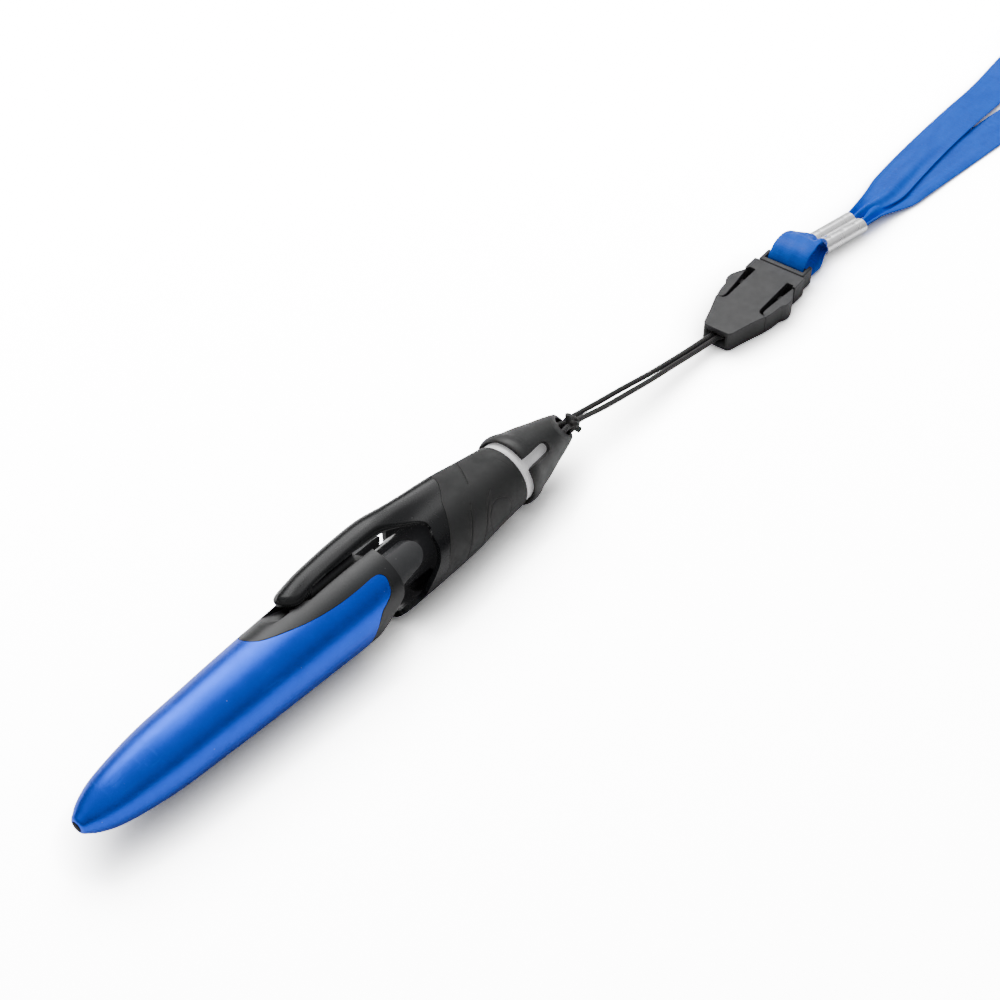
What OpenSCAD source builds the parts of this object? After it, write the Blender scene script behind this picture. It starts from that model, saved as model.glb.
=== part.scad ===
// Lanyard ballpoint pen: a push-barrel pen with a cap, cord, side-squeeze buckle and ribbon loop.
// Everything lies on the table plane Z = 0 and the pen's axis runs along X, nose towards +X.
// The origin is the centre of the buckle's flat underside. Stations along the pen are counted
// from the front face of its grip, forwards positive.

/* [Pen] */
// Height of the pen axis above the table plane
axis_z = 9.3; // [9.3:0.1:11]
// Roll of the pen about its own axis, the clip leaning away from upright
roll = 27; // [0:1:45]
// Wall of the blue rear shell
rear_wall = 1.2; // [0.9:0.1:1.5]
// Wall of the rubber grip over the front shell
grip_wall = 1.15; // [0.8:0.05:1.3]
// Half width of the clip
clip_hw = 3.7; // [3.2:0.1:3.8]
// Half width of the channel under the clip
channel_hw = 3.9; // [3.85:0.05:4.2]
// Outer radius of the inner barrel that shows in the side windows
barrel_r = 5.2; // [4.9:0.1:5.2]
// Radius of the vent plug in the tail
plug_r = 1.15; // [0.8:0.05:1.3]

/* [Refill] */
// Radius of the refill's ink tube
tube_r = 1.5; // [1.3:0.05:1.5]
// Radius of the writing ball
ball_r = 0.38; // [0.25:0.01:0.4]
// Wire radius of the return spring
wire_r = 0.25; // [0.15:0.01:0.27]
// Turns of the return spring
spring_turns = 8; // [5:1:9]

/* [Cap] */
// Number of slots that make the cap's mouth springy
cap_slots = 2; // [1:1:3]
// Width of each cap slot
cap_slot_w = 2.6; // [1.5:0.1:3]
// Wall of the cap at its mouth
cap_lip = 1.05; // [0.8:0.05:1.2]

/* [Cord] */
// Diameter of the braided cord
cord_d = 1.3; // [1.0:0.05:1.35]
// Radius of the cord's overhand knot
knot_r = 1.45; // [1.2:0.05:1.5]

/* [Buckle] */
// Thickness of the buckle
buckle_h = 5.2; // [5:0.1:6]
// Turn of the buckle about the vertical, counted from the pen axis
buckle_turn = 3.5; // [-10:0.5:10]

/* [Strap] */
// Width of the ribbon
ribbon_w = 10; // [8:0.5:10.4]
// Thickness of the ribbon
ribbon_t = 0.7; // [0.5:0.05:0.8]
// Length of the crimped aluminium sleeve
crimp_len = 15; // [12:1:18]
// Length of the strap loop beyond the sleeve
loop_len = 150; // [110:10:400]

/* [Hidden] */
$fn = 96;
slack = 0.05;  // gap between fitted pieces

BLACK = [0.06, 0.06, 0.065];
BLUE = [0.02, 0.16, 0.62];
CORD_BLACK = [0.04, 0.04, 0.04];
BUCKLE_BLACK = [0.08, 0.08, 0.085];

// Radii and stations shared by neighbouring pieces of the pen
mouth_r = 8.05;        // round mouth in the back of the front shell
mouth_front = -24.5;
spigot_r = 4.9;        // nose cone's spigot inside the front shell
barrel_front = -12;
barrel_rear = -84;
cam_sleeve_r = 4.15;
plunger_r = 2.0;
plunger_step = -90;    // where the plunger widens
plunger_front = -85.7;
tube_rear = -79;

// Places of the buckle and strap, seen from the pen's grip face
buckle_origin = [74.8, -3.7];
buckle_centre_x = 15;  // along the buckle
strap_origin = [119.7, -3.5];
strap_turn = -5.3;

// ---------- curves and frames ----------
function mix(from, to, share) = from + (to - from) * share;
// eased step from 0 to 1
function smooth(t) = let (u = max(0, min(1, t))) u * u * (3 - 2 * u);
function unit(v) = v / norm(v);
// slope of a control table at entry i
function slope(table, i) =
    let (a = table[max(0, i - 1)], b = table[min(len(table) - 1, i + 1)])
    (b[1] - a[1]) / (b[0] - a[0]);
// cubic curve through a control table of [position, value], at position x
function curve(table, x, i = 0) =
    let (last = table[len(table) - 1])
    x <= table[0][0] ? table[0][1] :
    x >= last[0] ? last[1] :
    x > table[i + 1][0] ? curve(table, x, i + 1) :
    let (
        h = table[i + 1][0] - table[i][0],
        t = (x - table[i][0]) / h,
        a = slope(table, i) * h,
        b = slope(table, i + 1) * h
    )
    (2 * t * t * t - 3 * t * t + 1) * table[i][1] + (t * t * t - 2 * t * t + t) * a
    + (3 * t * t - 2 * t * t * t) * table[i + 1][1] + (t * t * t - t * t) * b;

// point p of a frame that is turned about the vertical and moved to origin
function from_frame(p, origin, turn) = [
    origin[0] + p[0] * cos(turn) - p[1] * sin(turn),
    origin[1] + p[0] * sin(turn) + p[1] * cos(turn),
    p[2]
];
function from_buckle(p) = from_frame(p, buckle_origin, buckle_turn);
function from_strap(p) = from_frame(p, strap_origin, strap_turn);
buckle_centre = from_buckle([buckle_centre_x, 0, 0]);

// moves the table point under the grip face to its place, the buckle's centre being the origin
module place() { translate([-buckle_centre[0], -buckle_centre[1], 0]) children(); }
// pen axis without roll
module on_axis() { place() translate([0, 0, axis_z]) children(); }
// pen axis with roll; Z is the clip direction
module pen() { on_axis() rotate([-roll, 0, 0]) children(); }
module buckle() {
    place() translate([buckle_origin[0], buckle_origin[1], 0]) rotate([0, 0, buckle_turn])
        children();
}

// ---------- shared shapes ----------
// turns a [radius, position] outline about the X axis
module revolve_x(points) { rotate([0, 90, 0]) rotate_extrude() polygon(points); }
// round bar along X
module rod(r, from, to) { translate([from, 0, 0]) rotate([0, 90, 0]) cylinder(r = r, h = to - from); }
// copies spaced evenly round the X axis
module around(count, first = 0) {
    for (k = [0 : count - 1]) rotate([first + k * 360 / count, 0, 0]) children();
}
// prism with a side outline [position, height], running across the pen
module side_prism(points, width = 30) {
    translate([0, width / 2, 0]) rotate([90, 0, 0]) linear_extrude(width) polygon(points);
}
// everything between a side edge and the station end
edge_z = 14;
module beyond(edge, end) { side_prism(concat([[end, edge_z]], edge, [[end, -edge_z]])); }
// outline points mirrored across X, in reverse order
function mirrored(points) = [for (i = [len(points) - 1 : -1 : 0]) [points[i][0], -points[i][1]]];
// skin over equal-length rings of points
module skin(rings, closed = false) {
    n = len(rings[0]);
    m = len(rings);
    sides = [for (i = [0 : m - (closed ? 1 : 2)]) for (j = [0 : n - 1])
        let (k = (i + 1) % m, l = (j + 1) % n)
        each [[i * n + j, k * n + j, k * n + l], [i * n + j, k * n + l, i * n + l]]];
    ends = closed ? [] :
        [[for (j = [0 : n - 1]) j], [for (j = [n - 1 : -1 : 0]) (m - 1) * n + j]];
    polyhedron(points = [for (r = rings) each r], faces = concat(sides, ends), convexity = 8);
}

// ---------- control tables of the pen body: [position, value] ----------
// radius of the rear barrel
REAR = [[-119.6, 2.3], [-118, 3.4], [-114, 5.0], [-108, 6.2], [-100, 7.19], [-90, 7.72],
        [-78, 8.31], [-60, 8.95], [-50, 9.25], [-40, 9.2]];
// radius of the front shell and grip on the underside and flanks
FRONT = [[-40, 9.25], [-26, 9.15], [-16, 8.85], [-8, 8.1], [0, 7.6]];
// height of the clip's ridge line above the axis
RIDGE = [[-64, 10.4], [-62.8, 10.9], [-57, 12.2], [-51.5, 12.8], [-44.4, 13.2], [-37.3, 13.2],
         [-30.7, 12.3], [-24.9, 11.6], [-17.2, 10.8], [-11.7, 9.9], [-7, 9.1], [-2, 8.2],
         [0, 7.6]];
// height of the clip's underside above the axis
UNDER = [[-64, 10.2], [-62.1, 9.4], [-59, 8.95], [-57.2, 9.1], [-56.2, 9.9], [-55, 10.3],
         [-44.2, 10.1], [-40.5, 9.8], [-35.8, 9.3], [-32.6, 8.4], [-27, 6.3], [-25.3, 6.0]];
function rear_r(x) = curve(REAR, x);
function front_r(x) = curve(FRONT, x);
function ridge_h(x) = curve(RIDGE, x);
function under_h(x) = curve(UNDER, x);

// ---------- side outlines of the pen body: [position, height], from top to bottom ----------
// rear shell's edge against the black core
BLUE_EDGE = [[-74.2, 14], [-73.6, 8.6], [-72.1, 7.9], [-66.5, 6.7], [-60.9, 5.75],
             [-54.5, 5.2], [-48.1, 5.15], [-45.1, 5.2], [-43.6, 4.9], [-42.8, 3.9],
             [-43.1, 2.2], [-43.9, 0.6], [-45.7, -0.5], [-47.2, -1.3], [-49.5, -4.6],
             [-51.3, -8.5], [-51.6, -14]];
// core's front edge
CORE_EDGE = [[-40, 14], [-40, 1.3], [-40.3, -0.6], [-41, -2], [-42.2, -2.9], [-43.8, -3.8],
             [-45.8, -5.3], [-47.5, -7], [-48.6, -8.6], [-49, -14]];
// front shell's rear edge, from the clip root round to the jaw
JAW_EDGE = [[-25.2, 14], [-25.2, 5.9], [-27.1, 5.8], [-28, 4], [-28.5, 1.2], [-29.3, -0.9],
            [-30.9, -2.7], [-33.5, -5.3], [-34.8, -7.2], [-36.6, -8.1], [-38.6, -8.6],
            [-39.6, -9.1], [-39.8, -14]];
// seam between the rubber grip and the front shell
SEAM = [[-17.4, 14], [-17.6, 9.1], [-18.8, 8.9], [-20.5, 7.85], [-22.2, 5.7], [-23.7, 3.6],
        [-25.2, 1.2], [-26.7, -1.4], [-28, -4.5], [-30, -6.8], [-31.4, -8.6], [-32, -14]];
// tongue of the core
TONGUE = [[-46, 5.7], [-32.6, 5.6], [-31.5, 4.8], [-31.2, 3.2], [-31.9, 1.8], [-33.1, 0.75],
          [-36.3, 0], [-39, -0.5], [-41.2, -1.6], [-46, -1.8]];

// ---------- front body ----------
// radius of the egg-shaped section at an angle from the clip direction
function egg_r(x, angle) =
    let (spread = 20 + 7 * smooth((-28 - x) / 10), off = min(abs(angle), 360 - abs(angle)))
    front_r(x) + (ridge_h(x) - front_r(x)) * exp(-pow(off / spread, 2));
// whole-degree angle at which the egg's skin reaches the side distance y
function egg_angle(x, y, angle = 0) =
    angle > 88 || egg_r(x, angle) * sin(angle) >= y ? angle : egg_angle(x, y, angle + 1);
// height of the egg's skin at the side distance y
function egg_top(x, y) = let (a = egg_angle(x, abs(y))) egg_r(x, a) * cos(a);

// ring angles, closer together over the ridge
ridge_span = 48;
RING_ANGLES = concat([for (a = [-ridge_span : 6 : ridge_span]) a],
                     [for (i = [1 : 19]) ridge_span + (360 - 2 * ridge_span) * i / 20]);
function front_ring(x) = [for (a = RING_ANGLES) let (r = egg_r(x, a)) [x, r * sin(a), r * cos(a)]];
module front_outer(from, to, steps) {
    skin([for (i = [0 : steps]) front_ring(mix(from, to, i / steps))]);
}
// round body inside the grip, running straight on ahead of the grip face
module front_core(cut, end) {
    rear = -32.5;
    revolve_x(concat(
        [[0, rear]],
        [for (i = [0 : 8]) let (x = rear * (1 - i / 8)) [front_r(x) - cut, x]],
        [[front_r(0) - cut, end], [0, end]]));
}
module front_shell() {
    color(BLACK) pen() difference() {
        intersection() {
            front_outer(-39.8, -slack, 19);
            beyond(JAW_EDGE, 5);
        }
        // the rubber grip's seat
        difference() {
            beyond(SEAM, 5);
            front_core(grip_wall + slack, 6);
        }
        // mouth for the core's tongues, then bores for the inner barrel and the nose spigot
        rod(mouth_r, -45, mouth_front);
        rod(barrel_r + slack, -26, barrel_front + slack);
        rod(spigot_r + slack, -13, 1);
    }
}

// stations of the clip's rings
CLIP_STATIONS = [-63.8, -63.2, -62.4, -61.4, -60.2, -59, -57.2, -56.2, -55, -52, -48, -44, -40,
                 -37, -34.6, -33, -31, -29, -27, -25.3];
tip_x = -60.2;        // where the clip's rounded tip begins
tip_len = 3.85;
flare_x = -34.5;      // where the clip begins to flare into the round flank
root_floor = 5.96;    // lowest height of the clip's underside
function clip_half(x) =
    let (
        u = under_h(x),
        r = front_r(x),
        flare = x > flare_x && r > u ? sqrt(r * r - u * u) : 0,
        tip = x < tip_x ? sqrt(max(0.02, 1 - pow((tip_x - x) / tip_len, 2))) : 1
    )
    max(clip_hw * tip, flare);
// section with a flat underside and a crowned top
function clip_ring(x) =
    let (w = clip_half(x), under = max(root_floor, min(under_h(x), egg_top(x, w) - 0.5)))
    concat(
        [[x, -w, under]],
        [for (i = [-8 : 8]) let (y = w * i / 8)
            [x, y, max(under_h(x) + 0.06, egg_top(x, y)) + 0.02]],
        [[x, w, under]]);
module clip_arm() {
    color(BLACK) pen() skin([for (x = CLIP_STATIONS) clip_ring(x)]);
}

module grip_sleeve() {
    color([0.1, 0.1, 0.105]) pen() difference() {
        intersection() {
            front_outer(-33, 0, 16);
            beyond([for (p = SEAM) [p[0] + slack, p[1]]], 5);
        }
        front_core(grip_wall, 1);
        rod(mouth_r + slack, -45, mouth_front + slack);
    }
}

// [radius, position]: the spigot, the collar, then the cone
NOSE = [[0, -9], [4.6, -9], [spigot_r, -8.6], [spigot_r, 0.02],
        [7.0, 0.02], [7.25, 0.3], [7.25, 2.3], [6.95, 2.6],
        [6.1, 2.8], [6.0, 6], [5.0, 8.6], [3.6, 11.6], [2.5, 13.8], [2.0, 14.4], [1.6, 14.5],
        [0, 14.5]];
module nose_cone() {
    color([0.85, 0.85, 0.87]) on_axis() difference() {
        revolve_x(NOSE);
        // spring chamber and tip hole
        rod(2.45, -10, 8.6);
        rod(1.25, 8, 15);
    }
}

module inner_barrel() {
    color([0.03, 0.03, 0.03]) on_axis() difference() {
        rod(barrel_r, barrel_rear, barrel_front);
        rod(cam_sleeve_r + slack, barrel_rear - 1, barrel_front + 1);
    }
}

module cam_sleeve() {
    front = -62;
    color([0.8, 0.8, 0.82]) on_axis() {
        difference() {
            rod(cam_sleeve_r, barrel_rear, front);
            rod(3.3, barrel_rear - 1, front + 1);
        }
        // inner ribs
        around(4, first = 45) translate([-74.2, -0.4, 2.6]) cube([10, 0.8, 0.9]);
    }
}

// ---------- rear body ----------
// outline points of the rear barrel, closer together towards the tail
function rear_points(cut, from, to, steps) =
    [for (i = [0 : steps]) let (x = mix(from, to, pow(i / steps, 1.35))) [rear_r(x) - cut, x]];
module rear_outer(front) {
    revolve_x(concat([[0, -120.6], [1.35, -120.55], [1.95, -120.2]],
                     rear_points(0, -119.6, front, 22), [[0, front]]));
}
// body inside the rear wall
module rear_liner(gap, rear, front) {
    revolve_x(concat([[0, rear]], rear_points(rear_wall + gap, rear, front, 14), [[0, front]]));
}
module rear_shell() {
    color(BLUE) pen() difference() {
        rear_outer(-41);
        rear_liner(0, -118.2, -40);
        beyond(BLUE_EDGE, -30);
        rod(plug_r + slack, -122, -115);
    }
}

// half outline of the channel under the clip: [position, side distance]
CHANNEL = [[-39, -channel_hw], [-58, -channel_hw], [-58.4, -channel_hw + 0.5], [-66, -2.6],
           [-68.6, -1.4]];
channel_tip = [-69.2, 0];
module rear_core() {
    // the blue edge moved away by the slack
    cleared = [for (p = BLUE_EDGE)
        [p[0] + slack * 1.2, p[1] + (p[1] > 4.5 ? slack : -slack)]];
    color(BLACK) pen() difference() {
        union() {
            difference() {
                intersection() {
                    rear_outer(-40);
                    beyond(CORE_EDGE, -96);
                }
                // room for the rear shell
                difference() {
                    beyond(cleared, -125);
                    rear_liner(slack, -119, -39);
                }
            }
            // a tongue on each side, which slides into the front shell's mouth
            intersection() {
                difference() {
                    rod(7.9, -46, -31.2);
                    rod(6.8, -47, -30);
                }
                side_prism(TONGUE);
            }
        }
        rod(barrel_r + 0.15, -90, -30);
        rod(plunger_r + slack, -97, -89);
        translate([0, 0, 6]) linear_extrude(8)
            polygon(concat(CHANNEL, [channel_tip], mirrored(CHANNEL)));
    }
}

module tail_plug() {
    color([0.02, 0.02, 0.02]) on_axis()
        revolve_x([[0, -120.75], [0.6, -120.75], [0.95, -120.7], [plug_r, -120.5],
                   [plug_r, -117.2], [0.9, -116.8], [0, -116.8]]);
}

module plunger() {
    color([0.85, 0.85, 0.86]) on_axis() {
        rod(plunger_r, -96.5, plunger_step);
        rod(2.4, plunger_step, plunger_front);
        // ring of saw teeth on the front face
        around(8) translate([plunger_front, 0, 1.7])
            side_prism([[0, -0.5], [0.8, 0.5], [0, 0.5]], width = 0.9);
    }
}

// ---------- refill body ----------
module refill_tube() {
    color([0.75, 0.78, 0.85]) on_axis() difference() {
        rod(tube_r, tube_rear, -6.05);
        rod(1.05, tube_rear + 1, -5);
    }
}

module refill_tip() {
    color([0.8, 0.68, 0.36]) on_axis() difference() {
        revolve_x([[0, -10], [1.0, -10], [1.0, -6], [2.15, -6], [2.15, -5], [1.3, -5],
                   [1.3, 2.6], [1.1, 3], [1.1, 6.6], [0.5, 11.15], [0, 11.15]]);
        // the ball's seat
        rod(ball_r + 0.02, 10.6, 12);
    }
}

module writing_ball() {
    color([0.7, 0.7, 0.72]) on_axis() translate([11.12, 0, 0]) sphere(r = ball_r);
}

module cam_rotor() {
    color([0.9, 0.9, 0.9]) on_axis() difference() {
        union() {
            rod(2.3, -83.9, -76.5);
            around(4) translate([-83, -0.45, 2]) cube([3.5, 0.9, 1.05]);
        }
        // socket for the ink tube, and a narrower hole at its end
        rod(tube_r + 0.06, tube_rear - slack, -76);
        rod(0.7, -80, -75);
    }
}

module return_spring() {
    steps = 14;  // per turn
    rear = -4.7;
    length = 13.0;
    coil_r = 1.95;
    total = steps * spring_turns;
    color([0.7, 0.72, 0.75]) on_axis() skin([for (i = [0 : total])
        let (a = 360 * i / steps, x = rear + length * i / total)
        [for (j = [0 : 5]) let (b = -60 * j, r = coil_r + wire_r * cos(b))
            [x + wire_r * sin(b), r * cos(a), r * sin(a)]]]);
}

// ---------- cap ----------
cap_bar_x = 18.9;
cap_bar_r = 0.5;
cap_bar_len = 5.4;
cap_slot_end = 9.3;
cap_mouth_r = 8.4 - cap_lip;
// [radius, position]: up the outside from the mouth, then back down the inside
CAP = [[cap_mouth_r, 2.7], [7.95, 1.5], [8.15, 1.5], [8.4, 2.0], [8.45, 3.2], [8.25, 4.2],
       [7.6, 6], [7.1, 8], [6.65, 10], [6.0, 12], [5.45, 14], [4.95, 16], [4.3, 18], [3.5, 20],
       [3.1, 20.8], [2.8, 21], [2.4, 21],
       [2.3, 20], [2.3, 16.6], [3.0, 15.6], [4.1, 14], [4.85, 12], [5.5, 10], [5.95, 8],
       [6.5, 6], [7.0, 3.6], [cap_mouth_r, 3.3]];
module lanyard_cap() {
    color([0.07, 0.07, 0.075]) on_axis() {
        difference() {
            revolve_x(CAP);
            // slots with a round end
            around(cap_slots, first = 43) {
                translate([-1, -cap_slot_w / 2, 0]) cube([cap_slot_end + 1, cap_slot_w, 12]);
                translate([cap_slot_end, 0, 0]) cylinder(r = cap_slot_w / 2, h = 12);
            }
        }
        // cross bar that the cord goes round
        translate([cap_bar_x, 0, -cap_bar_len / 2]) cylinder(r = cap_bar_r, h = cap_bar_len);
    }
}

// ---------- cord ----------
mid = buckle_h / 2;   // mid height of the buckle
cord_r = cord_d / 2;
knot_x = 22.6;
pin_x = 3.2;          // the buckle's bar for the cord, along the buckle
pin_r = 0.8;
cord_turn_r = pin_r + cord_r + slack;
cord_end = from_buckle([pin_x, 0, mid]);
cord_span = [cord_end[0] - knot_x, cord_end[1], 0];
cord_dir = unit(cord_span);
cord_side = [-cord_dir[1], cord_dir[0], 0];
half_gap = 0.72;      // between the strands where they leave the knot
// centre between the two strands at the share t of the run; it sags towards the buckle
function cord_mid(t) =
    [knot_x, 0, 0] + cord_span * t + [0, 0, mix(cord_end[2], axis_z, pow(max(0, 1 - t), 1.5))];
// half the distance between the strands
function cord_gap(t) =
    half_gap + 0.35 * sin(180 * t) + (cord_turn_r - half_gap) * smooth((t - 0.93) / 0.07);
// point i of 0 to 15 on the strand on one side, 1 or -1
function strand_point(i, s) =
    let (t = 0.029 + 0.956 * i / 15) cord_mid(t) + s * cord_side * cord_gap(t);
// upright rings of a cord of radius r along a list of points
function cord_rings(points, r) = [for (i = [0 : len(points) - 1])
    let (
        a = points[max(0, i - 1)],
        b = points[min(len(points) - 1, i + 1)],
        t = unit([b[0] - a[0], b[1] - a[1], 0]),
        across = [-t[1], t[0], 0]
    )
    [for (j = [0 : 9]) points[i] + r * (cos(36 * j) * across + sin(36 * j) * [0, 0, 1])]];

// both strands and the turn round the buckle's pin
module cord_loop() {
    there = [for (i = [0 : 15]) strand_point(i, 1)];
    turn = [for (i = [0 : 12]) let (a = 90 - 180 * i / 12)
        cord_end + cord_turn_r * (cos(a) * cord_dir + sin(a) * cord_side)];
    back = [for (i = [15 : -1 : 0]) strand_point(i, -1)];
    color(CORD_BLACK) place() skin(cord_rings(concat(there, turn, back), cord_r));
}

// the knot, two short stubs of cord and the turn round the cap's bar
module cord_knot() {
    turn_r = cap_bar_r + cord_r + slack;
    stub_x = knot_x + 0.3;
    stub_r = cord_r - 0.05;
    turn = [for (i = [0 : 12]) let (a = 90 + 180 * i / 12)
        [cap_bar_x + turn_r * cos(a), turn_r * sin(a), 0]];
    function turn_end(s) = [knot_x - 0.7, s * 0.55, 0];
    color(CORD_BLACK) place() {
        translate([knot_x, 0, axis_z]) sphere(r = knot_r);
        translate([stub_x, 0, axis_z + 0.2]) rotate([62, -20, 0]) cylinder(r = stub_r, h = 3);
        translate([stub_x, 0, axis_z]) rotate([-118, 15, 0]) cylinder(r = stub_r, h = 2.9);
        translate([0, 0, axis_z])
            skin(cord_rings(concat([turn_end(1)], turn, [turn_end(-1)]), cord_r - 0.02));
    }
}

// ---------- buckle ----------
// Buckle outlines are [position along the buckle, side distance]; side 1 is left (+Y), -1 right.
SOCKET_HALF = [[0, 3.3], [0.8, 3.9], [6.4, 5.5], [10.9, 7.0], [10.9, 6.2], [11.2, 5.0],
               [11.6, 4.55], [25.2, 4.55], [25.2, 7.1], [29.3, 7.1]];
SQUEEZE_ARM = [[11.1, 7.0], [14, 7.6], [16.6, 7.8], [17.8, 8.5], [19.4, 8.7], [21, 8.5],
               [22.3, 7.6], [23.2, 6.9], [23.2, 5.75], [13, 5.7], [11.9, 5.9], [11.1, 6.3]];
PRONG = [[29.6, 2.2], [29.6, 3.3], [24.2, 3.3], [24.2, 4.4], [20.2, 4.4], [18.0, 3.4],
         [18.0, 2.5], [24, 2.4]];
function on_side(points, s) = [for (p = points) [p[0], s * p[1]]];
// block centred on the buckle's centre line and mid height
module block(x, length, width, height) {
    translate([x, -width / 2, mid - height / 2]) cube([length, width, height]);
}
module buckle_socket() {
    color(BUCKLE_BLACK) buckle() difference() {
        linear_extrude(buckle_h) polygon(concat(SOCKET_HALF, mirrored(SOCKET_HALF)));
        // mouth for the cord, round its pin
        difference() {
            block(-1, length = 6.6, width = 5.2, height = 2.6);
            translate([pin_x, 0, 0]) cylinder(r = pin_r, h = buckle_h);
        }
        // cavity for the prongs, its entrance and the side windows
        block(7, length = 17.4, width = 7.8, height = 2.5);
        block(23, length = 8, width = 7, height = 2.5);
        block(18.7, length = 5.7, width = 12, height = 2.2);
    }
}

module squeeze_arm(s) {
    lug = [1.8, 1.35, 1.8];
    lug_y = 4.45;  // inner face
    color(BUCKLE_BLACK) buckle() {
        linear_extrude(buckle_h - 0.3) polygon(on_side(SQUEEZE_ARM, s));
        translate([20.2, s > 0 ? lug_y : -lug_y - lug[1], mid - lug[2] / 2]) cube(lug);
    }
}
module squeeze_arm_left() { squeeze_arm(1); }
module squeeze_arm_right() { squeeze_arm(-1); }

module buckle_plug() {
    window_w = 10.9;
    bar_x = 32.8;   // rear face of the ribbon's bar
    bar_half = 1.1;
    color(BUCKLE_BLACK) buckle() difference() {
        union() {
            block(29.7, length = 4.7, width = 12.7, height = buckle_h - 0.2);
            // middle tongue
            block(12, length = 18, width = 2.4, height = 2);
        }
        // window for the ribbon, and the room under and over its bar
        block(31.0, length = 1.9, width = window_w, height = buckle_h + 2);
        translate([bar_x, -window_w / 2, -1]) cube([2, window_w, 1 + mid - bar_half]);
        translate([bar_x, -window_w / 2, mid + bar_half]) cube([2, window_w, buckle_h]);
    }
}

module prong(s) {
    color(BUCKLE_BLACK) buckle() translate([0, 0, mid - 1])
        linear_extrude(2) polygon(on_side(PRONG, s));
}
module prong_left() { prong(1); }
module prong_right() { prong(-1); }

// ---------- strap ----------
crimp_z = 2.15;      // height of the sleeve's axis
lobe = 1.75;         // side distance of each strand in the sleeve
pleat_w = 2.7;       // size of a gathered strand in the sleeve
pleat_t = 1.9;
bar_centre = 33.65;  // the ribbon's bar, along the buckle
bar_turn_r = 1.8;
bar_entry = 44.2;    // where the strands enter the sleeve, along the buckle
strand_share = 0.4;  // share of the bar loop that each strand takes; the turn takes the rest
step = 0.002;        // step for finding headings

// strand from the sleeve (t = 0) to the bar (t = 1), upper for level 1 and lower for -1
function bar_strand(t, level) = from_buckle([
    mix(bar_entry, bar_centre, t),
    -2.5 * (1 - smooth(t)) + level * lobe * (1 - smooth(t * 1.3)),
    mix(crimp_z, mid + level * bar_turn_r, smooth(t * (level > 0 ? 1.1 : 1.6)))
        + (level > 0 ? 2.9 * pow(sin(180 * t), 2) : -0.1 * sin(180 * t))
]);
// direction of the ribbon's outer face in the bar loop
function bar_angle(u) =
    90 + 180 * max(0, min(1, (u - strand_share) / (1 - 2 * strand_share)));
// loop round the bar, from the sleeve over the top (u = 0) to the sleeve underneath (u = 1)
function bar_point(u) =
    u < strand_share ? bar_strand(u / strand_share, 1) :
    u > 1 - strand_share ? bar_strand((1 - u) / strand_share, -1) :
    let (a = bar_angle(u))
    from_buckle([bar_centre + bar_turn_r * cos(a), 0, mid + bar_turn_r * sin(a)]);

// far loop, from the sleeve's lower strand (u = 0) round to the upper strand (u = 1):
// share of the loop's length, sideways bow, roll of the ribbon, its width and its thickness
function loop_share(u) = (1 - cos(360 * u)) / 2;
function loop_bow(u) =
    let (s = loop_share(u))
    7.8 * sin(360 * u) * sqrt(s) * (1 + 1.6 * smooth((s - 0.45) / 0.45))
    + lobe * cos(180 * u) * (1 - smooth(s / 0.12));
function loop_roll(u) =
    let (q = 90 * smooth((loop_share(u) - 0.5) / 0.42)) u < 0.5 ? q : 180 - q;
function loop_w(u) = mix(pleat_w, ribbon_w, smooth((loop_share(u) + 0.004) / 0.13));
function loop_t(u) = mix(pleat_t, ribbon_t, smooth((loop_share(u) + 0.004) / 0.1));
function loop_point(u) =
    let (
        s = loop_share(u),
        // the upper strand lies over the lower one
        lift = u > 0.5 ? 0.95 * (1 - smooth((s - 0.4) / 0.4)) : 0,
        rest_z = ribbon_t / 2 + slack + lift + ribbon_w / 2 * sin(loop_roll(u)),
        drift = 10 * (1 - exp(-2.5 * s))
    )
    from_strap([crimp_len + loop_len * s, drift - loop_bow(u),
                mix(crimp_z, rest_z, smooth(s / 0.13))]);

// rectangular section of the ribbon at a point
function band(point, heading, normal, width, thick) =
    let (
        across = unit(cross(normal, heading)),
        w = across * width / 2,
        h = unit(cross(heading, across)) * thick / 2
    )
    [point + w + h, point - w + h, point - w - h, point + w - h];
function bar_band(u) =
    let (
        heading = unit(bar_point(min(1, u + step)) - bar_point(max(0, u - step))),
        a = bar_angle(u),
        normal = from_frame([cos(a), 0, sin(a)], [0, 0], buckle_turn),
        spread = smooth(min(u, 1 - u) / strand_share * 1.5)
    )
    band(bar_point(u), heading, normal, mix(pleat_w, ribbon_w, spread),
         mix(pleat_t, ribbon_t, spread));
function loop_band(u) =
    let (
        heading = unit(loop_point(min(1, u + step)) - loop_point(max(0, u - step))),
        level = [heading[1], -heading[0], 0],
        r = loop_roll(u)
    )
    band(loop_point(u), heading, sin(r) * level - cos(r) * [0, 0, 1], loop_w(u), loop_t(u));
module strap_ribbon() {
    color([0.02, 0.2, 0.66]) place()
        skin(concat([for (i = [0 : 30]) bar_band(i / 30)], [for (i = [0 : 64]) loop_band(i / 64)]),
             closed = true);
}

// two round lobes side by side, each with a bore
module crimp_sleeve() {
    color([0.8, 0.81, 0.83]) place()
        translate([strap_origin[0], strap_origin[1], crimp_z]) rotate([0, 0, strap_turn])
        rotate([90, 0, 90]) linear_extrude(crimp_len) difference() {
            union() {
                for (s = [-1, 1]) translate([s * lobe, 0]) circle(r = 2.05);
                translate([-lobe, -1.75]) square([2 * lobe, 3.5]);
            }
            for (s = [-1, 1]) translate([s * lobe, 0]) circle(r = 1.7);
        }
}

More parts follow.
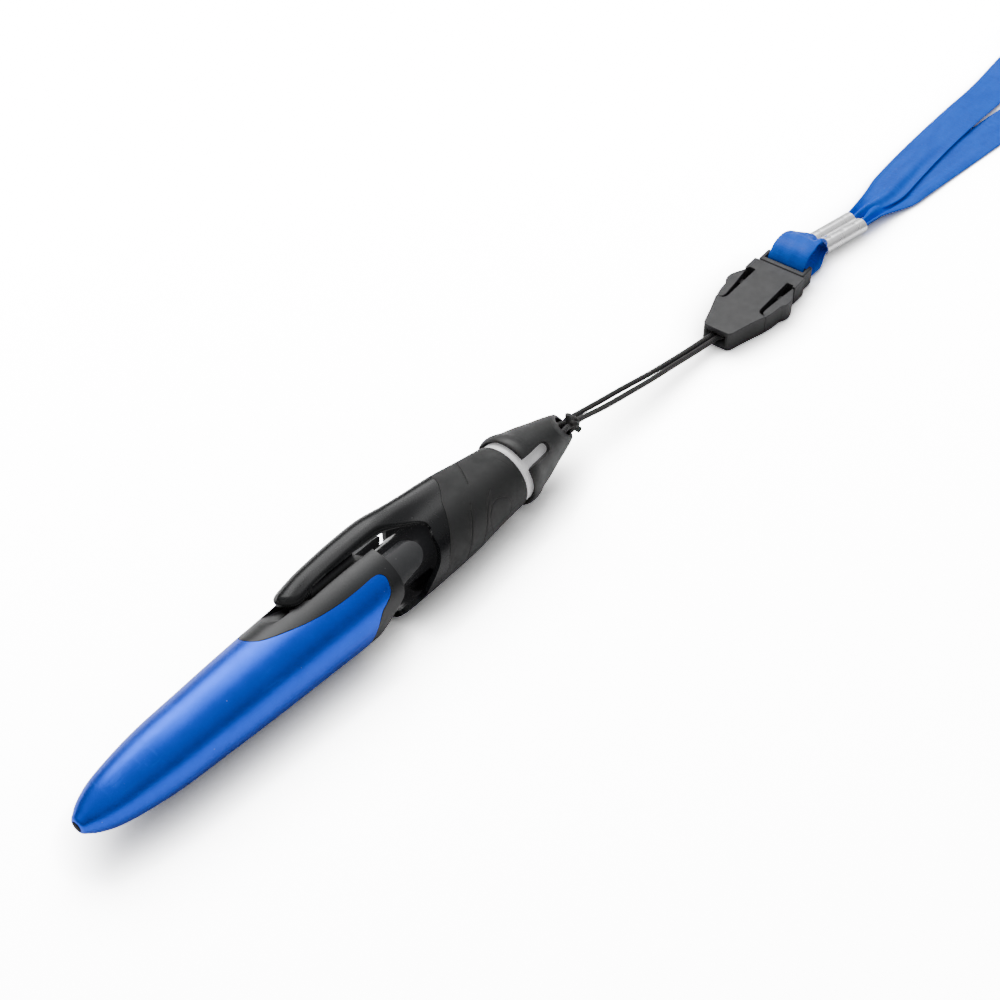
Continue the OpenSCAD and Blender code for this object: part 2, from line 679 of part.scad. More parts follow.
front_shell();
clip_arm();
grip_sleeve();
nose_cone();
inner_barrel();
cam_sleeve();
rear_shell();
rear_core();
tail_plug();
plunger();
refill_tube();
refill_tip();
writing_ball();
cam_rotor();
return_spring();
lanyard_cap();
cord_loop();
cord_knot();
buckle_socket();
squeeze_arm_left();
squeeze_arm_right();
buckle_plug();
prong_left();
prong_right();
strap_ribbon();
crimp_sleeve();
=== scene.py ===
"""A retractable pen with its cap, neck cord, buckle and ribbon strap, laid in one row along X.

The pen lies along X with its writing end towards +X. The cap, cord, buckle, crimped sleeve and
strap follow further along +X. The table is at Z = 0 and the camera stands on the -X, -Y side.

Lengths are in millimetres. The row frame has X = 0 at the grip's front face, Y = 0 on the pen's
axis and Z = 0 on the table. Pen coordinates are (station x, sideways y, height towards the clip),
counted from the pen's axis before it is rolled. Angles round the pen are in degrees from the
clip, and negative ones are on the near (-Y) side.
"""
import math

import bmesh
import bpy
import numpy as np
from mathutils import Matrix, Vector


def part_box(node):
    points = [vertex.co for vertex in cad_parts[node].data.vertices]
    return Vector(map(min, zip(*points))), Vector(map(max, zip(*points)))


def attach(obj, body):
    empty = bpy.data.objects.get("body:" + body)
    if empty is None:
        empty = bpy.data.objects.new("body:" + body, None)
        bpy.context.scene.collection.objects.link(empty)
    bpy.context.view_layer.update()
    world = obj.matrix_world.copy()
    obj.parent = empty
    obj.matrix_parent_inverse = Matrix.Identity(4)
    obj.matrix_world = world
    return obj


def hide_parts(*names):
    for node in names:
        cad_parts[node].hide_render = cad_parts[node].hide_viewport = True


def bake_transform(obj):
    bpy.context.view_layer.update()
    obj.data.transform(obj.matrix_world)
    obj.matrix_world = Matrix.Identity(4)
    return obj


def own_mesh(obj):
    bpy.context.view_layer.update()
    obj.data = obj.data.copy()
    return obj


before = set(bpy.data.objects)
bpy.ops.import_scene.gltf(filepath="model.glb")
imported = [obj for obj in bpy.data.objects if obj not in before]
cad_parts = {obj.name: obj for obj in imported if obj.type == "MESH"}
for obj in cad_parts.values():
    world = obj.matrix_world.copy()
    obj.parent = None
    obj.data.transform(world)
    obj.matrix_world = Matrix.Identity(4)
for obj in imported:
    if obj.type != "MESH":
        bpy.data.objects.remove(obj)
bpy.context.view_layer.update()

MM = 0.001  # metres in a millimetre
nose_lo, nose_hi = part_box("nose_cone")
_, grip_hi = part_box("grip_sleeve")
AXIS_Z = (nose_lo.z + nose_hi.z) / 2 / MM  # height of the pen's axis
ORIGIN = np.array([grip_hi.x / MM, (nose_lo.y + nose_hi.y) / 2 / MM, 0.0])
ROLL = math.radians(27)  # the clip leans this far towards +Y
rad, deg = np.radians, np.degrees


# ---------------------------------------------------------------- curves and coordinates
def ease(t):
    """Smooth step from 0 to 1."""
    t = np.clip(t, 0, 1)
    return t * t * (3 - 2 * t)


def lerp(a, b, t):
    return a + (b - a) * t


def hermite(points):
    """Smooth function through [x, value] points, level beyond both ends."""
    knots, values = np.array(points, float).T
    last = len(knots) - 1
    before = [max(0, i - 1) for i in range(last + 1)]
    after = [min(last, i + 1) for i in range(last + 1)]
    slopes = (values[after] - values[before]) / (knots[after] - knots[before])

    def f(x):
        x = np.clip(np.asarray(x, float), knots[0], knots[-1])
        i = np.clip(np.searchsorted(knots, x, side="right") - 1, 0, last - 1)
        step = knots[i + 1] - knots[i]
        t = (x - knots[i]) / step
        a, b = slopes[i] * step, slopes[i + 1] * step
        return ((2 * t**3 - 3 * t**2 + 1) * values[i] + (t**3 - 2 * t**2 + t) * a
                + (3 * t**2 - 2 * t**3) * values[i + 1] + (t**3 - t**2) * b)
    return f


def distances(points):
    """Length along a polyline at each of its points."""
    return np.r_[0, np.cumsum(np.linalg.norm(np.diff(points, axis=0), axis=1))]


def resample(points, n):
    """n points spaced evenly along a polyline."""
    points = np.asarray(points, float)
    d = distances(points)
    even = np.linspace(0, d[-1], n)
    return np.stack([np.interp(even, d, column) for column in points.T], -1)


def spline(points, n, closed=False):
    """Centripetal Catmull-Rom curve through the points, as n evenly spaced points."""
    P = np.asarray(points, float)
    if closed:
        Q = np.vstack([P[-1:], P, P[:2]])
    else:
        Q = np.vstack([2 * P[:1] - P[1:2], P, 2 * P[-1:] - P[-2:-1]])
    out = []
    for p0, p1, p2, p3 in zip(Q, Q[1:], Q[2:], Q[3:]):
        t0 = 0
        t1 = t0 + max(1e-6, np.linalg.norm(p1 - p0)) ** 0.5
        t2 = t1 + max(1e-6, np.linalg.norm(p2 - p1)) ** 0.5
        t3 = t2 + max(1e-6, np.linalg.norm(p3 - p2)) ** 0.5
        t = np.linspace(t1, t2, 24, endpoint=False)[:, None]
        a1 = (t1 - t) / (t1 - t0) * p0 + (t - t0) / (t1 - t0) * p1
        a2 = (t2 - t) / (t2 - t1) * p1 + (t - t1) / (t2 - t1) * p2
        a3 = (t3 - t) / (t3 - t2) * p2 + (t - t2) / (t3 - t2) * p3
        b1 = (t2 - t) / (t2 - t0) * a1 + (t - t0) / (t2 - t0) * a2
        b2 = (t3 - t) / (t3 - t1) * a2 + (t - t1) / (t3 - t1) * a3
        out.append((t2 - t) / (t2 - t1) * b1 + (t - t1) / (t2 - t1) * b2)
    return resample(np.vstack(out + [Q[-2][None]]), n)


def moving_mean(values, reach):
    """Mean over `reach` neighbours on each side."""
    size = 2 * reach + 1
    return np.convolve(np.pad(values, reach, mode="edge"), np.ones(size) / size, mode="valid")


def unit(vectors):
    return vectors / np.linalg.norm(vectors, axis=-1, keepdims=True)


def hash01(i, k):
    """Repeatable scatter value between 0 and 1."""
    x = math.sin(i * 12.9898 + k * 78.233) * 43758.5453
    return x - math.floor(x)


def roll_pen(P):
    """Pen coordinates to the row frame."""
    P = np.asarray(P, float)
    x, y, h = P[..., 0], P[..., 1], P[..., 2]
    c, s = math.cos(ROLL), math.sin(ROLL)
    return np.stack([x, y * c + h * s, AXIS_Z + h * c - y * s], -1)


def polar(x, angle, radius):
    """Station, angle from the clip and radius to the row frame."""
    x, angle, radius = np.broadcast_arrays(x, angle, radius)
    return roll_pen(np.stack([x, radius * np.sin(rad(angle)), radius * np.cos(rad(angle))], -1))


def fold_angle(angle):
    """Angle away from the clip, 0 to 180, on either side."""
    angle = np.abs(angle)
    return np.where(angle > 180, 360 - angle, angle)


# ---------------------------------------------------------------- meshes
def new_object(name, verts, faces, mats, mat_ids=None, sharp=40.0, weights=None, path=None):
    """Mesh object from points in the row frame.

    weights maps vertex pairs to edge bevel weights; path is stored per vertex for the weaves.
    """
    me = bpy.data.meshes.new(name)
    me.from_pydata(((np.asarray(verts, float) + ORIGIN) * MM).tolist(), [],
                   [list(map(int, f)) for f in faces])
    me.update()
    for mat in mats:
        me.materials.append(mat)
    if mat_ids is not None:
        me.polygons.foreach_set("material_index", np.asarray(mat_ids, np.int32))
    bm = bmesh.new()
    bm.from_mesh(me)
    bmesh.ops.recalc_face_normals(bm, faces=bm.faces)
    bm.to_mesh(me)
    bm.free()
    shade_smooth(me, sharp)
    if path is not None:
        attribute = me.attributes.new("path", "FLOAT_VECTOR", "POINT")
        attribute.data.foreach_set("vector", np.asarray(path, np.float32).ravel())
    if weights:
        attribute = me.attributes.new("bevel_weight_edge", "FLOAT", "EDGE")
        values = [weights.get(tuple(sorted(e.vertices)), 0.0) for e in me.edges]
        attribute.data.foreach_set("value", np.array(values, np.float32))
    o = bpy.data.objects.new(name, me)
    bpy.context.scene.collection.objects.link(o)
    return o


def shade_smooth(me, sharp):
    """Smooth shading, broken at edges sharper than `sharp` degrees."""
    me.polygons.foreach_set("use_smooth", np.ones(len(me.polygons), bool))
    me.set_sharp_from_angle(angle=math.radians(sharp))


def bevel(o, width, segments, angle=None, harden=True):
    """Rounds edges sharper than `angle` degrees, or the weighted edges when it is None."""
    m = o.modifiers.new("edge", "BEVEL")
    m.width = width * MM
    m.segments = segments
    m.limit_method = "WEIGHT" if angle is None else "ANGLE"
    if angle is not None:
        m.angle_limit = math.radians(angle)
    m.use_clamp_overlap = True
    m.harden_normals = harden
    m.miter_outer = "MITER_ARC"


def even_shading(o, weight=100):
    """Flat faces stay flat next to rounded edges."""
    m = o.modifiers.new("shade", "WEIGHTED_NORMAL")
    m.keep_sharp = True
    m.weight = weight


def apply_mods(o):
    bpy.context.view_layer.update()
    depsgraph = bpy.context.evaluated_depsgraph_get()
    me = bpy.data.meshes.new_from_object(o.evaluated_get(depsgraph), depsgraph=depsgraph)
    o.modifiers.clear()
    o.data = me


def cut(o, *cutters):
    """Takes the cutters out of o, one after another."""
    for cutter in cutters:
        m = o.modifiers.new("cut", "BOOLEAN")
        m.operation = "DIFFERENCE"
        m.object = cutter
        m.solver = "EXACT"
        apply_mods(o)
    for cutter in cutters:
        bpy.data.objects.remove(cutter)
    shade_smooth(o.data, 40)


def join(name, objects):
    """One mesh out of several, modifiers applied."""
    for o in objects:
        apply_mods(o)
    for o in bpy.context.selected_objects:
        o.select_set(False)
    for o in objects:
        o.select_set(True)
    o = objects[0]
    bpy.context.view_layer.objects.active = o
    bpy.ops.object.join()
    o.name = name
    o.data.name = name
    return o


def index_grid(x, first=0):
    """Vertex numbers for a grid shaped like x."""
    return first + np.arange(x.size).reshape(x.shape)


def grid_faces(idx, wrap=False):
    """Quads over an index grid [rows, columns]; wrap joins the last column to the first."""
    a, b = idx[:-1], idx[1:]
    if wrap:
        a2, b2 = np.roll(a, -1, 1), np.roll(b, -1, 1)
    else:
        a, a2 = a[:, :-1], a[:, 1:]
        b, b2 = b[:, :-1], b[:, 1:]
    return np.stack([a, b, b2, a2], -1).reshape(-1, 4)


def border_edges(faces):
    """Directed edges used by one face only, in face order."""
    edges = {}
    for f in faces:
        for edge in zip(f, f[1:] + f[:1]):
            edges[edge] = True
    return [(a, b) for a, b in edges if (b, a) not in edges]


def weld(outer, inner, faces):
    """Merges vertices whose outer points agree to 0.0001 mm and drops collapsed faces."""
    key = np.round(outer / 1e-4).astype(np.int64)
    _, first, merged = np.unique(key, axis=0, return_index=True, return_inverse=True)
    kept = []
    for f in merged.ravel()[faces]:
        g = [f[0]]
        for v in f[1:]:
            if v != g[-1]:
                g.append(v)
        if g[0] == g[-1]:
            g.pop()
        if len(set(g)) >= 3:
            kept.append(g)
    return outer[first], inner[first], kept


def skin_solid(name, outer, inner, faces, mats, inner_mat=0, width=0.2, segments=3,
               flip=True, sharp=40.0, harden=True):
    """Closed wall between two skins that share their faces, its rims bevelled by weight."""
    outer, inner, faces = weld(outer.reshape(-1, 3), inner.reshape(-1, 3), faces)
    if flip:
        faces = [f[::-1] for f in faces]
    n = len(outer)
    rim = border_edges(faces)
    walls = [[b, a, n + a, n + b] for a, b in rim]
    inside = [[n + v for v in reversed(f)] for f in faces]
    mat_ids = [0] * len(faces) + [inner_mat] * len(inside) + [0] * len(walls)
    weights = {}
    for edge in rim:
        a, b = sorted(edge)
        weights[a, b] = 1.0
        weights[n + a, n + b] = 0.6
    o = new_object(name, np.vstack([outer, inner]), faces + inside + walls, mats, mat_ids,
                   weights=weights, sharp=sharp)
    if width:
        bevel(o, width, segments, harden=harden)
    return o


def revolve(name, profile, mats, n):
    """Closed profile of [station, radius] turned about the pen's axis in n steps."""
    verts, rings = [], []
    for x, r in profile:
        if r == 0:
            rings.append([len(verts)] * n)
            verts.append([x, 0, 0])
        else:
            rings.append(list(range(len(verts), len(verts) + n)))
            for k in range(n):
                t = 2 * math.pi * k / n
                verts.append([x, r * math.sin(t), r * math.cos(t)])
    faces = []
    for a, b in zip(rings, rings[1:] + rings[:1]):
        if a[0] == a[1] and b[0] == b[1]:
            continue
        for k in range(n):
            nxt = (k + 1) % n
            faces.append(list(dict.fromkeys([a[k], b[k], b[nxt], a[nxt]])))
    return new_object(name, roll_pen(verts), faces, mats, sharp=35.0)


def fillet(outline, radius, n):
    """Rounds the corners of a polygon with n steps each."""
    points = np.array(outline, float)
    out = []
    for i, b in enumerate(points):
        to_last, to_next = points[i - 1] - b, points[(i + 1) % len(points)] - b
        last, following = np.linalg.norm(to_last), np.linalg.norm(to_next)
        corner = math.acos(np.clip(np.dot(to_last, to_next) / last / following, -1, 1))
        if corner > math.radians(160):
            out.append(b)
            continue
        reach = min(radius, 0.45 * last, 0.45 * following)
        p, q = b + to_last / last * reach, b + to_next / following * reach
        for j in range(n + 1):
            t = j / n
            out.append((1 - t) ** 2 * p + 2 * t * (1 - t) * b + t * t * q)
    return np.array(out)


def tube(name, path, radius, mats, n, closed=False, relief=None):
    """Round cord along path with n sides; relief(length, angle) is added to its radius."""
    P = np.asarray(path, float)
    m = len(P)
    along = unit(np.roll(P, -1, 0) - np.roll(P, 1, 0) if closed else np.gradient(P, axis=0))
    length = distances(P)[:, None]
    side = np.zeros_like(P)
    start = np.cross(along[0], [0, 0, 1.0])
    if np.linalg.norm(start) < 1e-6:  # a path that starts upright
        start = np.cross(along[0], [0, 1, 0.1])
    side[0] = unit(start)
    for i in range(1, m):
        side[i] = unit(side[i - 1] - along[i] * np.dot(side[i - 1], along[i]))
    other = np.cross(along, side)
    angle = (np.arange(n) * 2 * math.pi / n)[None]
    R = np.full((m, n), float(radius))
    if relief is not None:
        R = R + relief(length, angle)
    ring = (np.cos(angle)[..., None] * side[:, None] + np.sin(angle)[..., None] * other[:, None])
    V = P[:, None] + R[..., None] * ring
    stored = np.stack([*np.broadcast_arrays(length, angle), np.zeros((m, n))], -1)
    idx = index_grid(R)
    rows = np.vstack([idx, idx[:1]]) if closed else idx
    faces = grid_faces(rows, wrap=True)[:, ::-1].tolist()
    if not closed:
        faces += [idx[0].tolist(), idx[-1][::-1].tolist()]
    return new_object(name, V.reshape(-1, 3), faces, mats, sharp=60, path=stored.reshape(-1, 3))


def prism(name, outline, z0, z1, mats, place):
    """Upright prism over a polygon, moved into the row frame by place."""
    P = np.asarray(outline, float)
    area = 0.5 * np.sum(P[:, 0] * np.roll(P[:, 1], -1) - np.roll(P[:, 0], -1) * P[:, 1])
    if area < 0:
        P = P[::-1]
    n = len(P)
    V = np.vstack([np.c_[P, np.full(n, z0)], np.c_[P, np.full(n, z1)]])
    faces = [list(range(n))[::-1], list(range(n, 2 * n))]
    faces += [[i, (i + 1) % n, n + (i + 1) % n, n + i] for i in range(n)]
    return new_object(name, place(V), faces, mats)


def block(name, xs, ys, zs, mats, place):
    """Box between pairs of limits."""
    (x0, x1), (y0, y1) = xs, ys
    return prism(name, [[x0, y0], [x1, y0], [x1, y1], [x0, y1]], *zs, mats, place)


def around(centre, half):
    return centre - half, centre + half


def finish_piece(o, body, node):
    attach(o, body)
    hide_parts(node)


# ---------------------------------------------------------------- materials
class Mat:
    """A node material with one surface shader, built by short calls."""

    def __init__(self, name, shader="ShaderNodeBsdfPrincipled"):
        self.material = bpy.data.materials.new(name)
        self.material.use_nodes = True
        self.tree = self.material.node_tree
        self.tree.nodes.clear()
        out = self.node("ShaderNodeOutputMaterial")
        self.shader = self.node(shader)
        self.tree.links.new(self.shader.outputs[0], out.inputs[0])
        self.coord = self.node("ShaderNodeTexCoord").outputs["Object"]

    def node(self, kind, **inputs):
        """New node; inputs are named like its sockets, with _ for a space."""
        n = self.tree.nodes.new(kind)
        for key, value in inputs.items():
            self.put(n.inputs[key.replace("_", " ")], value)
        return n

    def put(self, socket, value):
        if isinstance(value, bpy.types.NodeSocket):
            self.tree.links.new(value, socket)
        else:
            socket.default_value = value

    def surface(self, **inputs):
        for key, value in inputs.items():
            self.put(self.shader.inputs[key.replace("_", " ")], value)

    def noise(self, scale, detail=2.0, rough=0.5, coord=None, distortion=0.0):
        coord = self.coord if coord is None else coord
        return self.node("ShaderNodeTexNoise", Vector=coord, Scale=scale, Detail=detail,
                         Roughness=rough, Distortion=distortion).outputs["Fac"]

    def cells(self, spacing):
        """Distance to scattered cell points about `spacing` mm apart."""
        return self.node("ShaderNodeTexVoronoi", Vector=self.coord,
                         Scale=1000 / spacing).outputs["Distance"]

    def remap(self, value, from_min, from_max, to_min=0.0, to_max=1.0, smooth=False):
        n = self.node("ShaderNodeMapRange", Value=value, From_Min=from_min, From_Max=from_max,
                      To_Min=to_min, To_Max=to_max)
        n.interpolation_type = "SMOOTHSTEP" if smooth else "LINEAR"
        return n.outputs[0]

    def math(self, op, a, b=0.0):
        n = self.node("ShaderNodeMath")
        n.operation = op
        for socket, value in zip(n.inputs, (a, b, 0.0)):
            self.put(socket, value)
        return n.outputs[0]

    def mix(self, factor, a, b):
        n = self.node("ShaderNodeMix")
        n.data_type = "RGBA"
        for i, value in ((0, factor), (6, a), (7, b)):
            self.put(n.inputs[i], value)
        return n.outputs[2]

    def scaled(self, scale, rotation=(0, 0, 0)):
        return self.node("ShaderNodeMapping", Vector=self.coord, Scale=scale,
                         Rotation=rotation).outputs[0]

    def combine(self, x, y):
        return self.node("ShaderNodeCombineXYZ", X=x, Y=y).outputs[0]

    def bump(self, height, depth, strength, normal=None):
        """Bump of `depth` mm."""
        n = self.node("ShaderNodeBump", Strength=strength, Distance=depth * MM, Height=height)
        if normal is not None:
            self.put(n.inputs["Normal"], normal)
        return n.outputs[0]

    def path(self):
        """The stored path attribute: length along in mm, then angle or place across."""
        attribute = self.node("ShaderNodeAttribute")
        attribute.attribute_name = "path"
        return self.node("ShaderNodeSeparateXYZ", Vector=attribute.outputs["Vector"]).outputs


def rgba(colour):
    return (*colour, 1.0)


def plastic(name, colour, rough, metal=0.0, coat=0.0, coat_rough=0.08, spec=0.5,
            tint_swing=0.12, rough_swing=0.06, grain=0.004, grain_scale=6000, dust=0.0,
            dust_colour=(0.3, 0.3, 0.3), smudge=0.0, scratch=0.0, painted_glow=0.0, hush=False):
    """Moulded or metal surface.

    The swings vary tint and roughness, grain is a bump depth in mm, dust, smudge and scratch
    are strengths of wear, the glow strength is a painted glow (an emission that brightens the
    surface as painted light, though the part is no lamp), and hush mutes the colour that
    the surface throws on the table.
    """
    m = Mat(name)
    low, high = (rgba(tuple(c * (1 + swing) for c in colour))
                 for swing in (-tint_swing, tint_swing))
    base = m.mix(m.remap(m.noise(160, 4, 0.6), 0.3, 0.7), low, high)
    roughness = m.remap(m.noise(420, 3, 0.6), 0.3, 0.7, rough - rough_swing, rough + rough_swing)
    if smudge:
        patches = m.remap(m.noise(95, 5, 0.65, distortion=1.4), 0.48, 0.66, smooth=True)
        roughness = m.math("ADD", roughness, m.math("MULTIPLY", patches, smudge))
    if scratch:
        # two crossing sets of streaks, kept to patches
        streaks = [
            m.remap(m.noise(900, coord=m.scaled((0.06, 1, 1), (0.2, 0.4, 0.5))), 0.60, 0.66),
            m.remap(m.noise(1300, coord=m.scaled((1, 0.05, 0.6), (0.7, 0.1, -0.6))), 0.62, 0.68)]
        marks = m.math("MULTIPLY", m.math("MAXIMUM", *streaks), m.remap(m.noise(60), 0.5, 0.62))
        roughness = m.math("ADD", roughness, m.math("MULTIPLY", marks, scratch))
        pale = tuple(min(1, c * 2.2 + 0.01) for c in colour)
        base = m.mix(m.math("MULTIPLY", marks, scratch), base, rgba(pale))
    if dust:
        # sparse specks and finer, denser ones
        specks = m.math("MULTIPLY", m.remap(m.cells(2.2), 0.035, 0.065, 1, 0),
                        m.remap(m.noise(330, 1), 0.55, 0.60))
        fine = m.math("MULTIPLY", m.remap(m.cells(0.8), 0.03, 0.05, 1, 0),
                      m.remap(m.noise(240), 0.58, 0.64))
        specks = m.math("MAXIMUM", specks, fine)
        base = m.mix(m.math("MULTIPLY", specks, dust), base, rgba(dust_colour))
        roughness = m.math("ADD", roughness, m.math("MULTIPLY", specks, 0.4))
    if hush:
        diffuse_ray = m.node("ShaderNodeLightPath").outputs["Is Diffuse Ray"]
        base = m.mix(m.math("MULTIPLY", diffuse_ray, 0.85), base, rgba((0.05, 0.055, 0.07)))
    m.surface(Base_Color=base, Roughness=roughness, Metallic=metal, Specular_IOR_Level=spec,
              Coat_Weight=coat, Coat_Roughness=coat_rough)
    # painted glow: an emission that lights up the surface, as painted light
    if painted_glow:
        m.surface(Emission_Color=base, Emission_Strength=painted_glow)
    if grain:
        m.surface(Normal=m.bump(m.noise(grain_scale, 2, 0.6), depth=grain, strength=0.6))
    return m.material


BRAID_YARNS = 4     # yarns each way round the cord
BRAID_PITCH = 1.25  # mm along the cord per yarn


def cord_material():
    m = Mat("cord_braid")
    length, angle, _ = m.path()
    # two sets of yarns winding in opposite directions
    folds = []
    for op in ("ADD", "SUBTRACT"):
        turn = m.math(op, m.math("MULTIPLY", angle, BRAID_YARNS / (2 * math.pi)),
                      m.math("MULTIPLY", length, 1 / BRAID_PITCH))
        folds.append(m.math("PINGPONG", turn, 0.5))
    painted_yarn_shade = m.math("MULTIPLY", *folds)
    # pale specks over the cord are painted glints of the yarn
    painted_glint = m.math("MULTIPLY", m.remap(m.cells(0.42), 0.05, 0.12, 1, 0),
                   m.remap(m.noise(700), 0.52, 0.60))
    # the grooves between the yarn crossings are painted darker and their crowns lighter: painted
    # shade
    base = m.mix(m.remap(painted_yarn_shade, 0.0, 0.22), rgba((0.004, 0.004, 0.004)),
                 rgba((0.020, 0.0195, 0.019)))
    base = m.mix(m.math("MULTIPLY", painted_glint, 0.55), base, rgba((0.30, 0.29, 0.27)))
    fibres = m.noise(9000, 2, 0.6, coord=m.scaled((1, 0.4, 0.4)))
    m.surface(Base_Color=base, Roughness=0.6, Sheen_Weight=0.25, Sheen_Roughness=0.4,
              Normal=m.bump(fibres, depth=0.02, strength=0.7))
    return m.material


def ribbon_material():
    m = Mat("ribbon_satin")
    along, across, _ = m.path()
    # thread spacings in mm
    weft = m.math("SINE", m.math("MULTIPLY", along, 2 * math.pi / 0.34))
    warp = m.math("SINE", m.math("MULTIPLY", across, 2 * math.pi / 0.30))
    # slubs are narrow streaks across the ribbon; the broad noise shifts its blue slowly
    slub = m.noise(1.0, 3, 0.65, coord=m.combine(m.math("MULTIPLY", along, 2.2),
                                                 m.math("MULTIPLY", across, 0.16)))
    broad = m.noise(1.0, 3, 0.5, coord=m.combine(m.math("MULTIPLY", along, 0.10),
                                                 m.math("MULTIPLY", across, 0.35)))
    base = m.mix(m.remap(slub, 0.3, 0.7), rgba((0.0006, 0.070, 0.52)),
                 rgba((0.0015, 0.098, 0.68)))
    base = m.mix(m.remap(broad, 0.35, 0.7, 0.0, 0.5), base, rgba((0.003, 0.128, 0.80)))
    lint = m.math("MULTIPLY", m.remap(m.cells(1.3), 0.03, 0.06, 1, 0),
                  m.remap(m.noise(150), 0.56, 0.62))
    base = m.mix(m.math("MULTIPLY", lint, 0.4), base, rgba((0.3, 0.4, 0.75)))
    weave = m.math("ADD", m.math("MULTIPLY", weft, 0.5), m.math("MULTIPLY", warp, 0.25))
    threads = m.bump(weave, depth=0.03, strength=0.5)
    m.surface(Base_Color=base, Roughness=m.remap(slub, 0.3, 0.7, 0.40, 0.54),
              Specular_IOR_Level=0.14, Sheen_Weight=0.03, Sheen_Roughness=0.35,
              Sheen_Tint=rgba((0.45, 0.62, 1.0)),
              Normal=m.bump(slub, depth=0.10, strength=0.6, normal=threads))
    return m.material


MATS = {
    "blue": plastic(
        "blue_lacquer", (0.002, 0.080, 0.78), rough=0.36, metal=0.80, coat=0.05, coat_rough=0.25,
        tint_swing=0.07, rough_swing=0.03, grain=0.0015, grain_scale=9000, dust=0.8,
        scratch=0.12, dust_colour=(0.35, 0.45, 0.8), hush=True),
    "core": plastic(
        "black_satin", (0.013, 0.0135, 0.015), rough=0.38, dust=0.5, grain=0.002,
        rough_swing=0.02, spec=0.42),
    "clip": plastic(
        "clip_gloss", (0.009, 0.0095, 0.0105), rough=0.27, dust=0.5, grain=0.0,
        rough_swing=0.015, spec=0.24),
    # the insides are a lighter black with a painted glow: painted light inside the shells and
    # windows
    "gloss": plastic(
        "inner_gloss", (0.028, 0.028, 0.030), rough=0.16, dust=0.9, grain=0.0,
        rough_swing=0.03, coat=0.3, painted_glow=0.25),
    "tongue": plastic(
        "tongue_satin", (0.042, 0.043, 0.046), rough=0.46, grain=0.003, dust=0.4),
    "rubber": plastic(
        "grip_rubber", (0.016, 0.0162, 0.0165), rough=0.62, rough_swing=0.05, grain=0.008,
        grain_scale=5200, dust=0.7, smudge=0.06, spec=0.4, dust_colour=(0.22, 0.22, 0.22),
        scratch=0.08),
    "cap": plastic(
        "cap_soft_black", (0.015, 0.0152, 0.0156), rough=0.48, grain=0.004, dust=0.5,
        spec=0.42, smudge=0.05),
    # painted glow makes the white ring brighter: painted light
    "white": plastic(
        "ring_white", (0.98, 0.98, 0.99), rough=0.26, tint_swing=0.02, grain=0.002, painted_glow=0.22),
    "buckle": plastic(
        "buckle_charcoal", (0.026, 0.0265, 0.028), rough=0.50, grain=0.010, grain_scale=3600,
        dust=0.45, spec=0.42, smudge=0.04),
    # painted glow brightens the sleeve: painted light
    "aluminium": plastic(
        "crimp_aluminium", (0.97, 0.97, 0.98), rough=0.30, metal=0.70, tint_swing=0.02,
        rough_swing=0.05, grain=0.006, grain_scale=1500, scratch=0.04, painted_glow=0.10),
    "steel": plastic(
        "spring_steel", (0.55, 0.56, 0.58), rough=0.25, metal=1.0, tint_swing=0.05, grain=0.002),
    "brass": plastic(
        "tip_brass", (0.65, 0.48, 0.20), rough=0.25, metal=1.0, tint_swing=0.06, grain=0.002,
        scratch=0.2),
    "ball": plastic(
        "ball_carbide", (0.45, 0.45, 0.47), rough=0.15, metal=1.0, tint_swing=0.05, grain=0.001),
    "tube": plastic(
        "refill_tube_clear", (0.35, 0.42, 0.62), rough=0.22, tint_swing=0.08, grain=0.001,
        coat=0.4),
    "cam": plastic("cam_acetal", (0.62, 0.62, 0.63), rough=0.38, tint_swing=0.04, grain=0.003),
    "plunger": plastic(
        "plunger_acetal", (0.66, 0.66, 0.67), rough=0.36, tint_swing=0.04, grain=0.003),
    "tail": plastic("tail_black", (0.005, 0.005, 0.006), rough=0.55, grain=0.003, spec=0.12),
    "cord": cord_material(),
    "ribbon": ribbon_material(),
}


# ---------------------------------------------------------------- pen outlines
# [station, radius] of the round body behind and ahead of station -40
rear_radius = hermite([
    [-119.6, 2.3], [-118, 3.4], [-114, 5.0], [-108, 6.2], [-100, 7.19], [-90, 7.72],
    [-78, 8.31], [-60, 8.95], [-50, 9.25], [-40, 9.2]])
body_radius = hermite([[-40, 9.25], [-26, 9.15], [-16, 8.85], [-8, 8.1], [0, 7.6]])
# [station, height] of the ridge that runs from the grip into the clip's top
ridge_height = hermite([
    [-64, 10.4], [-62.8, 10.9], [-57, 12.2], [-51.5, 12.8], [-44.4, 13.2], [-37.3, 13.2],
    [-30.7, 12.3], [-24.9, 11.6], [-17.2, 10.8], [-11.7, 9.9], [-7, 9.1], [-2, 8.2], [0, 7.6]])
# [station, height] of the clip's underside
clip_under = hermite([
    [-64, 9.5], [-62.9, 9.15], [-61.6, 8.7], [-60.4, 8.3], [-58.8, 8.0], [-57.5, 7.9],
    [-56.9, 8.6], [-56.4, 9.8], [-55.6, 10.25], [-55, 10.3], [-44.2, 10.1], [-40.5, 9.8],
    [-35.8, 9.3], [-32.6, 8.4], [-27, 6.3], [-25.3, 6.0]])
# [station, height] side outlines, from the clip side down to the underside:
# front edge of the blue shell
BLUE_EDGE = [
    [-74.2, 9.2], [-73.6, 8.6], [-72.1, 7.9], [-66.5, 6.7], [-60.9, 5.75], [-54.5, 5.2],
    [-48.1, 5.15], [-45.1, 5.2], [-43.6, 4.9], [-42.8, 3.9], [-43.1, 2.2], [-43.9, 0.6],
    [-45.7, -0.5], [-47.2, -1.3], [-49.5, -4.6], [-51.3, -8.5], [-51.6, -9.3]]
